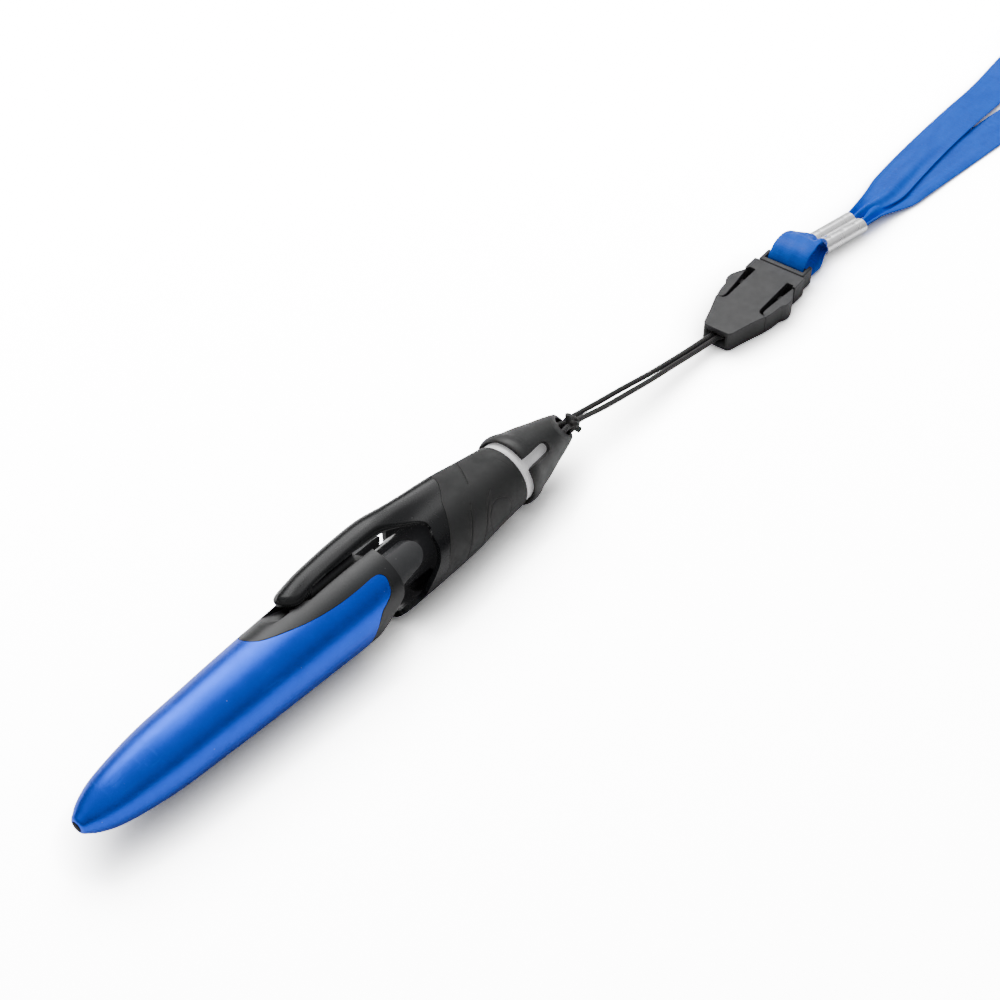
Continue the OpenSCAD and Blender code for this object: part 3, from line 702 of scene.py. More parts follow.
# front edge of the black insert
CORE_EDGE = [
    [-40, 9.3], [-40, 1.3], [-40.3, -0.6], [-41, -2], [-42.2, -2.9], [-43.8, -3.8],
    [-45.8, -5.3], [-47.5, -7], [-48.6, -8.6], [-49, -9.3]]
# rear edge of the front shell, below the clip
JAW_EDGE = [
    [-27.1, 5.8], [-28, 4], [-28.5, 1.2], [-29.3, -0.9], [-30.9, -2.7], [-33.5, -5.3],
    [-34.8, -7.2], [-36.6, -8.1], [-38.6, -8.6], [-39.6, -9.1], [-39.8, -9.3]]
# seam between the front shell and the grip
SEAM = [
    [-17.4, 11], [-17.6, 9.1], [-18.8, 8.9], [-20.5, 7.85], [-22.2, 5.7], [-23.7, 3.6],
    [-25.2, 1.2], [-26.7, -1.4], [-28, -4.5], [-30, -6.8], [-31.4, -8.6], [-32, -9.3]]
# edge of the clip, from its root back towards the tip
CLIP_EDGE = [
    [-27.15, 5.75], [-27.0, 6.1], [-27.15, 6.5], [-27.6, 6.95], [-28.4, 7.4], [-29.6, 7.95],
    [-31.2, 8.6], [-33.0, 9.25], [-35.0, 9.85], [-37, 10.15], [-40, 10.3], [-42, 10.35],
    [-44.2, 10.4], [-48, 10.5], [-52, 10.45], [-54.6, 10.3], [-56, 9.95], [-57.0, 9.5],
    [-58.2, 9.3], [-60, 9.4], [-61.6, 9.75]]
# outline of the tongues, with both ends hidden in the insert
TONGUE_BACK_X = -46
TONGUE = [
    [TONGUE_BACK_X, 5.7], [-36, 5.68], [-32.9, 5.55], [-31.6, 4.8], [-31.2, 3.3], [-31.9, 1.8],
    [-33.1, 0.75], [-36.3, 0], [-39, -0.5], [-41.2, -1.6], [TONGUE_BACK_X, -1.8]]


def front_radius(x, angle):
    """Radius of the egg-shaped front section: round, with the ridge raised on the clip side."""
    x, angle = np.broadcast_arrays(np.asarray(x, float), np.asarray(angle, float))
    width = 20 + 7 * ease((-28 - x) / 10)
    ridge = np.exp(-((fold_angle(angle) / width) ** 2))
    return body_radius(x) + (ridge_height(x) - body_radius(x)) * ridge


# ---------------------------------------------------------------- rear barrel
def edge_on_rear(outline, n):
    """A side outline laid on the rear barrel from the clip side to the underside.

    Returns n evenly spaced [station, angle] rows and how far along each one is, 0 to 1.
    """
    P = spline(outline, 1600)
    R = rear_radius(P[:, 0])
    on_body = np.abs(P[:, 1]) <= R
    P, R = P[on_body], R[on_body]
    angle = deg(np.arccos(np.clip(P[:, 1] / R, -1, 1)))
    Q = np.stack([P[:, 0], R * rad(angle), angle], -1)
    first_x, last_x = Q[0, 0], Q[-1, 0]
    if angle[0] > 0.5:
        Q = np.vstack([[first_x, 0, 0], Q])
    if angle[-1] < 179.5:
        Q = np.vstack([Q, [last_x, rear_radius(last_x) * math.pi, 180]])
    d = distances(Q[:, :2])
    t = np.linspace(0, d[-1], n)
    return np.stack([np.interp(t, d, Q[:, 0]), np.interp(t, d, Q[:, 2])], -1), t / d[-1]


def mirror_columns(columns):
    """[station, angle] columns of one side turned into a full ring."""
    return np.vstack([columns, (columns * [1, -1])[-2:0:-1]])


def rear_shell():
    """Blue shell, from the rounded tail to its wavy front edge."""
    edge, along = edge_on_rear(BLUE_EDGE, 190)
    # columns start at the tail, spread between the edge's angles and even spacing
    even_share = 95
    start_angle = 180 * (edge[:, 1] + even_share * along) / (180 + even_share)
    start_angle[0], start_angle[-1] = 0, 180
    start = mirror_columns(np.stack([np.full(len(edge), -119.6), start_angle], -1))
    edge = mirror_columns(edge)
    k = np.linspace(0, 1, 120)
    k = (0.25 * k + 0.75 * (1 - (1 - k) ** 1.25))[:, None, None]
    grid = start * (1 - k) + edge * k
    x, angle = grid[..., 0], grid[..., 1]
    # [station, radius] of the rounded tail, open in the middle for the plug
    tail = np.array([[-120.56, 1.22], [-120.52, 1.38], [-120.42, 1.62], [-120.22, 1.88],
                     [-119.95, 2.1]])
    r = np.vstack([np.repeat(tail[:, 1:], x.shape[1], 1), rear_radius(x)])
    x = np.vstack([np.repeat(tail[:, :1], x.shape[1], 1), x])
    angle = np.vstack([np.repeat(angle[:1], len(tail), 0), angle])
    inner_r = np.maximum(r - 1.2, np.where(x < -119, 1.18, 0.9))
    inner_x = np.where(x < -119.5, -119.2, x)
    o = skin_solid("rear_shell_skin", polar(x, angle, r), polar(inner_x, angle, inner_r),
                   grid_faces(index_grid(x), wrap=True), [MATS["blue"], MATS["core"]],
                   inner_mat=1, width=0.16)
    finish_piece(o, "rear", "rear_shell")


def piece_of_edge(edge, first, last, n):
    """n rows spread over rows first to last of an edge."""
    u = np.linspace(first, last, n)
    rows = np.arange(len(edge))
    return np.stack([np.interp(u, rows, edge[:, 0]), np.interp(u, rows, edge[:, 1])], -1)


CHANNEL_HALF = 3.9
CHANNEL_FLOOR, CHANNEL_TOP = 6.0, 12.0


def ramp_place(P):
    """Channel's sloping end: its floor rises towards the tail."""
    Q = np.array(P, float)
    floor_h = CHANNEL_FLOOR + 0.285 * np.clip(-58.0 - Q[..., 0], 0, 20)
    Q[..., 2] = np.where(Q[..., 2] < 9, floor_h, Q[..., 2])
    return roll_pen(Q)


def core_skin():
    """Black insert: its skin shows ahead of the blue edge, its channel opens under the clip."""
    back, _ = edge_on_rear(BLUE_EDGE, 200)
    front, _ = edge_on_rear(CORE_EDGE, 200)
    # pair the columns in two parts, split at the blue edge's foremost corner
    back_corner = int(np.argmax(back[:, 0]))
    front_corner = int(np.argmin(np.abs(front[:, 1] - back[back_corner, 1])))
    back, front = (
        mirror_columns(np.vstack([piece_of_edge(edge, 0, corner, 90),
                                  piece_of_edge(edge, corner, len(edge) - 1, 110)[1:]]))
        for edge, corner in ((back, back_corner), (front, front_corner)))
    k = np.r_[0, 0.006, 0.015, 0.027, 0.042, np.linspace(0.06, 1, 21)][:, None, None]
    grid = back * (1 - k) + front * k
    x, angle = grid[..., 0], grid[..., 1]
    # the skin dips along the blue edge, then tucks under it
    run = np.hypot(x - x[:1], (angle - angle[:1]) * rad(1) * 9.0)
    r = rear_radius(x) - 0.03 - 0.30 * np.clip(1 - run / 0.34, 0, 1) ** 2
    r = np.vstack([rear_radius(x[:1]) - 0.9, r])
    x = np.vstack([x[:1], x])
    angle = np.vstack([angle[:1], angle])
    o = skin_solid("rear_core_skin", polar(x, angle, r), polar(x, angle, 5.35),
                   grid_faces(index_grid(x), wrap=True), [MATS["core"], MATS["gloss"]],
                   inner_mat=1, width=0)
    half = spline([[-58, CHANNEL_HALF], [-58.4, 3.4], [-66, 2.6], [-68.6, 1.4], [-69.6, 0]], 40)
    ramp = np.vstack([half, (half * [1, -1])[-2::-1]])
    zs = CHANNEL_FLOOR, CHANNEL_TOP
    straight = block("channel_cutter", (-58.1, -38), around(0, CHANNEL_HALF), zs,
                     [MATS["core"]], roll_pen)
    cut(o, straight, prism("channel_ramp", ramp, *zs, [MATS["core"]], ramp_place))
    return o


def tongue(side):
    """Curved plate that reaches forward from the insert; side is 1 for +y, -1 for -y."""
    outline = spline(TONGUE, 240)
    tip = int(np.argmax(outline[:, 0]))
    tip_x, tip_h = outline[tip]
    upper, lower = outline[:tip + 1], outline[tip:][::-1]
    x = TONGUE_BACK_X + (tip_x - TONGUE_BACK_X) * (1 - (1 - np.linspace(0, 1, 60)) ** 1.8)
    top = np.interp(x, upper[:, 0], upper[:, 1])
    bottom = np.interp(x, lower[:, 0], lower[:, 1])
    top[-1] = bottom[-1] = tip_h
    v = np.linspace(0, 1, 26)
    h = top[:, None] * (1 - v) + bottom[:, None] * v
    X = np.repeat(x[:, None], len(v), 1)

    def skin(radius):
        return roll_pen(np.stack([X, side * np.sqrt(radius**2 - h * h), h], -1))
    return skin_solid("tongue", skin(7.9), skin(6.8), grid_faces(index_grid(X)),
                      [MATS["tongue"], MATS["gloss"]], inner_mat=1, width=0.22, flip=side > 0)


def rear_parts():
    rear_shell()
    o = join("rear_core_looks", [core_skin(), tongue(1), tongue(-1)])
    finish_piece(o, "rear", "rear_core")
    # [station, radius]
    plug = [[-120.72, 0], [-120.72, 0.55], [-120.66, 0.85], [-120.5, 1.05], [-120.2, 1.12],
            [-117.2, 1.12], [-116.8, 0.9], [-116.8, 0]]
    o = revolve("tail_vent_plug", plug, [MATS["tail"]], n=64)
    finish_piece(o, "rear", "tail_plug")


# ---------------------------------------------------------------- front body
def seam_stations():
    """Station of the seam at each whole angle from 0 to 180."""
    degrees = np.arange(0, 181)
    P = spline(SEAM, 1500)
    angle = np.array([np.interp(-h, -(front_radius(x, degrees) * np.cos(rad(degrees))), degrees)
                      for x, h in P])
    order = np.argsort(angle, kind="stable")
    x = np.interp(degrees, angle[order], P[order, 0])
    # smoothed more on the clip side
    return lerp(moving_mean(x, 12), moving_mean(x, 3), ease((degrees - 30) / 30))


SEAM_X = seam_stations()


def seam_x(angle):
    return np.interp(fold_angle(angle), np.arange(181), SEAM_X)


ROOT_ANGLE = 52.0  # where the clip's columns meet the jaw's
CLIP_TIP_X = -62.95
NECK_ROWS = 26     # mesh rows between the seam and the clip's root
CLIP_FILLET = 0.55
SHELL_BORE = 8.05


def clip_width_angle(x):
    """Angle at which the clip, rounded at its tip, reaches its half width."""
    round_from = -59.3
    t = np.clip((round_from - x) / (round_from - CLIP_TIP_X), 0, 1)
    half_width = 3.72 * (1 - t**2.3) ** (1 / 2.1)
    angles = np.linspace(0, 90, 361)
    return np.interp(half_width, front_radius(x, angles) * np.sin(rad(angles)), angles)


def clip_edge(n):
    """Stations and angles of the clip's edge from its root to its tip."""
    angles = np.linspace(0, 90, 361)
    outline = spline(CLIP_EDGE, 220)
    edge_angle = []
    for x, h in outline:
        # the flare follows the outline; the free clip's edge stands at the half width
        by_width = clip_width_angle(x)
        if x > -37:
            heights = front_radius(x, angles) * np.cos(rad(angles))
            by_height = np.interp(-h, -heights, angles)
            k = ease((-30.5 - x) / 6.5)
            edge_angle.append(by_height * (1 - k) + min(by_height, by_width) * k)
        else:
            edge_angle.append(by_width)
    tip_x = np.linspace(outline[-1, 0], CLIP_TIP_X, 22)[1:]
    edge_x = np.r_[outline[:, 0], tip_x]
    edge_angle = np.array(edge_angle + [clip_width_angle(x) for x in tip_x])
    edge_angle[0] = ROOT_ANGLE
    i = np.arange(len(edge_angle))
    k = ease(np.minimum(i / 14, (len(edge_angle) - 1 - i) / 30))
    edge_angle = edge_angle * (1 - k) + moving_mean(edge_angle, 4) * k
    sideways = front_radius(edge_x, edge_angle) * rad(edge_angle)
    d = distances(np.stack([edge_x, sideways], -1))
    t = np.linspace(0, d[-1], n)
    return np.interp(t, d, edge_x), np.interp(t, d, edge_angle)


def shell_inner(x, angle):
    """Inner skin: under the clip its underside, elsewhere the shell's bore."""
    off = fold_angle(angle)
    bore = np.where(x > -27.6, SHELL_BORE, lerp(SHELL_BORE, 30, ease((-27.6 - x) / 2.0)))
    under = clip_under(x) / np.cos(rad(np.minimum(off, 62)))
    under = np.where(x > -25.3, lerp(under, 9.0, ease((x + 25.3) / 2.5)), under)
    r = np.where(off > 62, SHELL_BORE, np.minimum(under, bore))
    return polar(x, angle, np.minimum(r, front_radius(x, angle) - 0.55))


def shell_and_clip():
    """Front shell and its clip as one moulding."""
    edge_x, edge_angle = clip_edge(130)
    ridge_x = np.linspace(-26.6, CLIP_TIP_X, len(edge_x))
    # columns run from -1 at one edge over 0 on the ridge to 1 at the other edge
    half = np.linspace(0, 1, 45) ** 0.9
    column = np.r_[-half[::-1], half[1:]]
    off = np.abs(column)
    neck_angle = column * ROOT_ANGLE
    root_x = (1 - off**4) * ridge_x[0] + off**4 * edge_x[0]
    f = (np.arange(NECK_ROWS) / NECK_ROWS)[:, None]
    top_x = np.vstack([seam_x(neck_angle) * (1 - f) + root_x * f,
                       (1 - off**4) * ridge_x[:, None] + off**4 * edge_x[:, None]])
    top_angle = np.vstack([np.repeat(neck_angle[None], NECK_ROWS, 0),
                           column * edge_angle[:, None]])
    # the clip's top rounds down into its edge
    top_r = front_radius(top_x, top_angle)
    span = np.r_[np.full(NECK_ROWS, ROOT_ANGLE), edge_angle][:, None]
    gap = (1 - off) * span * rad(1) * top_r
    inset = np.clip(CLIP_FILLET - gap, 0, CLIP_FILLET)
    drop = CLIP_FILLET - np.sqrt(np.maximum(CLIP_FILLET**2 - inset**2, 0))
    drop = drop * ease((np.arange(len(top_x)) - NECK_ROWS - 1) / 9.0)[:, None]
    # the rest of the ring, from the seam back to the jaw edge
    ring = np.linspace(ROOT_ANGLE, 360 - ROOT_ANGLE, 150)
    jaw = spline(JAW_EDGE, 900)
    jaw_angle = deg(np.arccos(np.clip(jaw[:, 1] / front_radius(jaw[:, 0], 120), -1, 1)))
    order = np.argsort(jaw_angle, kind="stable")
    ring_off = fold_angle(ring)
    end_x = np.interp(ring_off, jaw_angle[order], jaw[order, 0])
    end_x = np.where(ring_off < ROOT_ANGLE + 6,
                     lerp(edge_x[0], end_x, ease((ring_off - ROOT_ANGLE) / 6.0)), end_x)
    f = np.linspace(0, 1, NECK_ROWS + 1)[:, None]
    jaw_x = seam_x(ring) * (1 - f) + end_x * f
    jaw_a = np.repeat(ring[None], len(f), 0)
    outer = np.vstack([polar(top_x, top_angle, top_r - drop).reshape(-1, 3),
                       polar(jaw_x, jaw_a, front_radius(jaw_x, jaw_a)).reshape(-1, 3)])
    inner = np.vstack([shell_inner(top_x, top_angle).reshape(-1, 3),
                       shell_inner(jaw_x, jaw_a).reshape(-1, 3)])
    faces = np.vstack([grid_faces(index_grid(top_x)),
                       grid_faces(index_grid(jaw_x, first=top_x.size))])
    # rows run towards -X here, so the faces turn the other way
    o = skin_solid("shell", outer, inner, faces[:, ::-1], [MATS["clip"], MATS["gloss"]],
                   inner_mat=1, width=0.42, segments=4, harden=False)
    even_shading(o, weight=50)
    # [station, radius] of the sleeve inside the grip
    sleeve = [[-24.5, 5.28], [-24.5, 7.95], [-20, 7.8], [-17, 7.6], [-11, 6.7], [-0.1, 6.2],
              [-0.1, 5.0], [-11.9, 5.0], [-11.9, 5.28]]
    o = join("front_shell_and_clip", [o, revolve("shell_core", sleeve, [MATS["gloss"]], n=120)])
    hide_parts("front_shell", "clip_arm")
    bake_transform(o)


# Grip grooves: (station, angle) points, depth, half width, whether mirrored to the other side
GROOVES = [
    ([(-9.3, 0), (-10.1, -4.6), (-10.75, -14), (-11.5, -23.8), (-12.3, -34.2), (-12.75, -40)],
     0.17, 0.15, True),
    ([(-15.9, -62), (-16.9, -70), (-18.15, -83.7), (-19.2, -95.7), (-21, -121), (-21.8, -150),
      (-21.5, -175)], 0.17, 0.15, True),
    ([(-9.6, -64), (-11.4, -74), (-13, -85), (-14, -95), (-14.7, -104), (-16, -125),
      (-16.6, -150), (-16.4, -175)], 0.17, 0.15, True),
    ([(-2.7, -31), (-2.1, -44), (-1.8, -56)], 0.05, 0.10, False),
]
# a ring groove low on the near side
RING_X, RING_ANGLE, RING_R = -9.7, -108, 3.7
RING_POINTS = [(RING_X + RING_R * math.cos(t), RING_ANGLE + deg(RING_R * math.sin(t) / 8.4))
               for t in np.linspace(0, 2 * math.pi, 40, endpoint=False)]


def groove_depth(x, sideways, points, depth, half_width, unroll, closed=False):
    """Depth of one groove over the grip's grid; unroll is the radius that turns angle to mm."""
    P = spline(points, 260, closed=closed)
    P[:, 1] = rad(P[:, 1]) * unroll
    nearest = np.full(x.shape, 1e9)
    for (x0, y0), (x1, y1) in zip(P, P[1:]):
        near = (np.abs(x - x0) < 1.2) & (np.abs(sideways - y0) < 1.2)
        if not near.any():
            continue
        dx, dy = x1 - x0, y1 - y0
        px, py = x[near] - x0, sideways[near] - y0
        t = np.clip((px * dx + py * dy) / (dx * dx + dy * dy + 1e-12), 0, 1)
        nearest[near] = np.minimum(nearest[near], np.hypot(px - t * dx, py - t * dy))
    return depth * np.clip(1 - (nearest / half_width) ** 2, 0, 1) ** 1.2


def grip():
    unroll = 8.6
    ring = np.linspace(0, 360, 560, endpoint=False)
    x = (seam_x(ring) + 0.10) * (1 - np.linspace(0, 1, 190)[:, None])
    angle = np.repeat(ring[None], len(x), 0)
    full_r = front_radius(x, angle)
    sideways = rad(np.where(angle > 180, angle - 360, angle)) * unroll
    carved = groove_depth(x, sideways, RING_POINTS, 0.11, 0.15, unroll, closed=True)
    for points, depth, half_width, mirrored in GROOVES:
        for side in (1, -1) if mirrored else (1,):
            sided = [(px, side * pa) for px, pa in points]
            carved = np.maximum(
                carved, groove_depth(x, sideways, sided, depth, half_width, unroll))
    # the front lip rolls in
    roll_in = 0.35 * (1 - np.sqrt(np.clip(1 - ((x + 0.5) / 0.5) ** 2, 0, 1)))
    r = full_r - carved - np.where(x > -0.5, roll_in, 0)
    o = skin_solid("grip_sleeve_looks", polar(x, angle, r),
                   polar(x, angle, np.minimum(full_r - 1.15, 9.2)),
                   grid_faces(index_grid(x), wrap=True), [MATS["rubber"]],
                   width=0.12, segments=2, sharp=60)
    finish_piece(o, "front", "grip_sleeve")


def nose():
    # [station, radius]: outside from the hidden rear end to the tip, then back along the bore
    profile = [
        [-9, 2.5], [-9, 4.5], [-8.7, 4.9], [0.02, 4.9], [0.02, 6.9], [0.12, 7.12], [0.35, 7.25],
        [2.15, 7.25], [2.42, 7.16], [2.6, 6.95], [2.72, 6.5], [2.8, 6.1], [4, 6.06], [6.0, 6.0],
        [7.3, 5.6], [8.6, 5.0], [11.6, 3.6], [13.8, 2.5], [14.3, 2.1], [14.5, 1.8], [14.5, 1.35],
        [14.3, 1.25], [8.6, 1.25], [8.4, 2.45], [-8.9, 2.45]]
    o = revolve("nose_cone_looks", profile, [MATS["white"]], n=160)
    finish_piece(o, "front", "nose_cone")


def spring():
    turns, steps_per_turn = 8, 48
    back_x, length, radius = -4.7, 13.0, 1.95
    u = np.linspace(0, 1, turns * steps_per_turn + 1)
    a = 2 * math.pi * turns * u
    P = np.stack([back_x + length * u, radius * np.sin(a), radius * np.cos(a)], -1)
    o = tube("return_spring_coil", roll_pen(P), 0.25, [MATS["steel"]], n=14)
    finish_piece(o, "front", "return_spring")
    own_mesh(o)


# ---------------------------------------------------------------- cap
# [station, radius] of the cap's outside and inside
cap_outer = hermite([
    [1.5, 7.98], [1.62, 8.16], [1.9, 8.33], [2.4, 8.43], [3.2, 8.45], [4.2, 8.25], [6, 7.62],
    [8, 7.12], [10, 6.62], [12, 6.02], [14, 5.45], [16, 4.93], [18, 4.36], [19.6, 3.86],
    [21.0, 3.32], [22.0, 2.72], [22.7, 2.05], [23.1, 1.45], [23.35, 0.8], [23.42, 0.45]])
cap_inner = hermite([
    [1.5, 7.90], [2.7, 7.36], [3.2, 7.32], [3.7, 7.0], [6, 6.5], [8, 5.95], [10, 5.5],
    [12, 4.85], [14, 4.1], [15.6, 3.1], [16.8, 2.4], [18, 2.5], [19.5, 2.75], [20.6, 2.65],
    [21.6, 2.1], [22.3, 1.4], [22.75, 0.8], [23.1, 0.4], [23.42, 0.35]])
CAP_RIM_X = 1.5
SLOT_HALF = 1.3      # half width of the two slots in the cap's skirt
SLOT_ROUND_X = 9.3   # centre of a slot's round end
CAP_SHOULDER_X = 13.5
CAP_TURN = 70.0
CAP_BAR_X = 18.9


def cap_columns():
    """[edge station, edge angle, even angle] columns right round the cap's slotted rim."""
    t = np.linspace(0, math.pi / 2, 60)
    side_x = np.linspace(SLOT_ROUND_X, CAP_RIM_X, 90)[1:]
    slot = np.vstack([
        np.c_[SLOT_ROUND_X + SLOT_HALF * np.cos(t), SLOT_HALF * np.sin(t)],
        np.c_[side_x, np.full(len(side_x), SLOT_HALF)]])
    slot_angle = deg(np.arcsin(slot[:, 1] / cap_outer(slot[:, 0])))
    corner_angle = slot_angle[-1]
    edge = np.vstack([
        np.c_[slot[:, 0], slot_angle],
        np.c_[np.full(120, CAP_RIM_X), np.linspace(corner_angle, 90, 121)[1:]]])
    sideways = rad(edge[:, 1]) * cap_outer(edge[:, 0])
    d = distances(np.stack([edge[:, 0], sideways], -1))
    s = np.linspace(0, d[-1], 76)
    edge = np.stack([np.interp(s, d, edge[:, 0]), np.interp(s, d, edge[:, 1])], -1)
    # one column sits exactly on the slot's corner
    to_corner = SLOT_HALF * math.pi / 2 + SLOT_ROUND_X - CAP_RIM_X
    edge[np.argmin(np.abs(s - to_corner))] = [CAP_RIM_X, corner_angle]
    even = 90 * (s / s[-1]) ** 0.8
    even[0], even[-1] = 0, 90
    columns = np.c_[edge, even]
    columns = np.vstack([columns, (columns * [1, -1, -1] + [0, 180, 180])[-2::-1]])
    return np.vstack([columns, (columns + [0, 180, 180])[1:-1]])


def cap():
    edge_x, edge_angle, even_angle = cap_columns().T
    k = np.r_[0, 0.012, 0.03, 0.055, 0.09, np.linspace(0.13, 1, 42)][:, None]
    crown = np.r_[np.linspace(CAP_SHOULDER_X, 21.0, 28)[1:], 21.3, 21.6, 21.9, 22.2, 22.45,
                  22.7, 22.9, 23.1, 23.25, 23.35, 23.42]
    x = np.vstack([edge_x * (1 - k) + CAP_SHOULDER_X * k,
                   np.repeat(crown[:, None], len(edge_x), 1)])
    angle = np.vstack([edge_angle * (1 - k) + even_angle * k,
                       np.repeat(even_angle[None], len(crown), 0)]) - CAP_TURN
    # the inside takes the darker, duller tail black: painted shade inside the cap
    o = skin_solid("cap_body", polar(x, angle, cap_outer(x)), polar(x, angle, cap_inner(x)),
                   grid_faces(index_grid(x), wrap=True), [MATS["cap"], MATS["tail"]],
                   inner_mat=1, width=0.17, sharp=55)
    apply_mods(o)
    # the mouth for the cord opens obliquely, up and towards the near side
    tilt = math.radians(51)
    normal = np.array([math.cos(tilt), -0.548 * math.sin(tilt), 0.836 * math.sin(tilt)])
    side = unit(np.cross(normal, [0, 0, 1.0]))
    axes = np.array([normal, side, np.cross(normal, side)])
    mouth = np.array([21.7, 0.0, AXIS_Z])
    cut(o, block("mouth_cutter", (0, 7), (-7, 7), (-7, 7), [MATS["cap"]],
                 lambda P: mouth + P @ axes))
    bevel(o, 0.12, 2, angle=38)
    bar = [[CAP_BAR_X, 0, AXIS_Z + dz] for dz in (-2.7, -1, 1, 2.35)]
    o = join("lanyard_cap_looks", [o, tube("cap_bar", bar, 0.5, [MATS["cap"]], n=28)])
    finish_piece(o, "cap", "lanyard_cap")


# ---------------------------------------------------------------- cord
def place_turned(P, origin, angle):
    """Flat piece turned about Z and moved in X and Y; heights stay."""
    P = np.asarray(P, float)
    x, y = P[..., 0], P[..., 1]
    c, s = math.cos(angle), math.sin(angle)
    return np.stack([origin[0] + x * c - y * s, origin[1] + x * s + y * c, P[..., 2]], -1)


def at_buckle(P):
    """Buckle coordinates, x from its cord end, to the row frame."""
    return place_turned(P, (74.8, -3.7), math.radians(3.5))


BUCKLE_MID = 2.6     # height of the buckle's middle plane
POST_X, POST_R = 3.2, 0.8
KNOT_X = 22.6
UP = np.array([0, 0, 1.0])
CORD_END = at_buckle([POST_X, 0, BUCKLE_MID])
CORD_RUN = np.linalg.norm([CORD_END[0] - KNOT_X, CORD_END[1]])
CORD_DIR = np.array([CORD_END[0] - KNOT_X, CORD_END[1], 0]) / CORD_RUN
CORD_SIDE = np.array([-CORD_DIR[1], CORD_DIR[0], 0])
KNOT = np.array([KNOT_X + 1.15, -0.35, AXIS_Z - 0.9])


def cord_mid(t):
    """Line midway between the strands, from the knot (t = 0) to the buckle's post (t = 1)."""
    t = np.asarray(t, float)[..., None]
    height = CORD_END[2] + (AXIS_Z - CORD_END[2]) * np.clip(1 - t, 0, None) ** 1.5
    return np.array([KNOT_X, 0, 0]) + CORD_DIR * CORD_RUN * t + UP * height


def braid(length, angle):
    """Raised crossings of the yarns."""
    turn = BRAID_YARNS * angle / (2 * math.pi)
    run = length / BRAID_PITCH
    crossings = np.cos(2 * math.pi * (turn + run)) * np.cos(2 * math.pi * (turn - run))
    return 0.055 * crossings - 0.015


def cord_strands():
    """Both strands and the turn round the buckle's post, as one cord."""
    t = np.linspace(0.045, 0.985, 260)
    turn_r = POST_R + 0.65 + 0.05
    # half the gap: bulges near the knot, closes, then opens for the post
    gap = (0.74 + 0.294 * np.sin(math.pi * np.clip(t / 0.62, 0, 1)) ** 1.2
           - 0.06 * ease((t - 0.55) / 0.2) + (turn_r - 0.68) * ease((t - 0.93) / 0.06))[:, None]
    wobble = CORD_SIDE * (0.10 * np.sin(t * 21) * (1 - t))[:, None]
    twist = (ease((t - 0.5) / 0.35) * 0.42 * (1 - ease((t - 0.9) / 0.06)))[:, None]
    mid = cord_mid(t)
    sideways = CORD_SIDE * gap * np.cos(twist)
    lift = UP * gap * np.sin(twist)
    there = mid + sideways + lift + wobble * 0.4
    back = mid - sideways - lift * 0.6 + wobble * 0.7
    a = np.linspace(math.pi / 2, -math.pi / 2, 22)[1:-1, None]
    turn = CORD_END + turn_r * (np.cos(a) * CORD_DIR + np.sin(a) * CORD_SIDE)
    P = spline(np.vstack([there, turn, back[::-1]])[::3], 1500)
    # the strands never dip under the table
    P[:, 2] = np.maximum(P[:, 2], 0.72)
    o = tube("cord_strands", P, 0.63, [MATS["cord"]], n=28, relief=braid)
    finish_piece(o, "cord", "cord_loop")


def strand_points(side):
    """Strand from inside the knot into the cord; side is 1 for +Y, -1 for -Y."""
    heights = (0.2, 0.2, 0.35) if side > 0 else (0.0, 0.0, 0.25)
    inside = [KNOT + [x, side * y, z]
              for x, y, z in zip((-0.9, 0.3, 1.6), (0.5, 0.55, 0.62), heights)]
    return inside + [cord_mid(0.06) + CORD_SIDE * 0.84 * side,
                     cord_mid(0.075) + CORD_SIDE * 0.86 * side]


def cord_knot():
    """Knot with its bight round the cap's bar and two short cut ends."""
    cord = [MATS["cord"]]
    t = np.linspace(0, 2 * math.pi, 160, endpoint=False)
    size = 0.46
    trefoil = KNOT + np.stack([-np.sin(3 * t) * 0.50, (np.sin(t) + 2 * np.sin(2 * t)) * size,
                               (np.cos(t) - 2 * np.cos(2 * t)) * size], -1)
    parts = [tube("knot_body", trefoil, 0.70, cord, n=24, closed=True, relief=braid)]
    t = np.linspace(0, 2 * math.pi, 72, endpoint=False)
    for dx, radius, tilt in ((0.75, 0.86, 0.35), (1.45, 0.72, -0.3)):
        turn = KNOT + np.stack([dx + tilt * np.sin(t), radius * np.cos(t),
                                radius * np.sin(t) + 0.12], -1)
        parts.append(tube("knot_turn", turn, 0.56, cord, n=22, closed=True, relief=braid))
    stub_up = KNOT + [[-0.5, 0.2, 0.9], [-0.3, 0.6, 1.6], [-0.15, 0.8, 2.0], [-0.05, 0.85, 2.45]]
    stub_low = KNOT + [[0.0, -0.5, -0.3], [0.5, -1.2, -0.9], [0.8, -1.5, -1.2],
                       [1.0, -1.75, -1.45]]
    bend_r = 1.22
    bend = [[CAP_BAR_X + bend_r * math.cos(q), bend_r * math.sin(q), AXIS_Z]
            for q in np.linspace(math.pi * 0.5, math.pi * 1.5, 9)]
    bight = [KNOT + [-0.6, 0.5, 0.2], [KNOT_X - 0.6, 0.8, AXIS_Z - 0.3],
             [KNOT_X - 1.7, 1.05, AXIS_Z], *bend, [KNOT_X - 1.7, -1.05, AXIS_Z],
             [KNOT_X - 0.6, -0.8, AXIS_Z - 0.3], KNOT + [-0.6, -0.5, 0.2]]
    for name, points, radius, steps in (
            ("stub_up", stub_up, 0.70, 60), ("stub_low", stub_low, 0.70, 60),
            ("strand_a", strand_points(1), 0.62, 60), ("strand_b", strand_points(-1), 0.62, 60),
            ("bight", bight, 0.62, 160)):
        path = spline(np.vstack(points), steps)
        parts.append(tube(name, path, radius, cord, n=24, relief=braid))
    o = join("cord_knot_looks", parts)
    finish_piece(o, "cord", "cord_knot")


# ---------------------------------------------------------------- buckle
BUCKLE_H = 5.2
BUCKLE_MATS = [MATS["buckle"]]
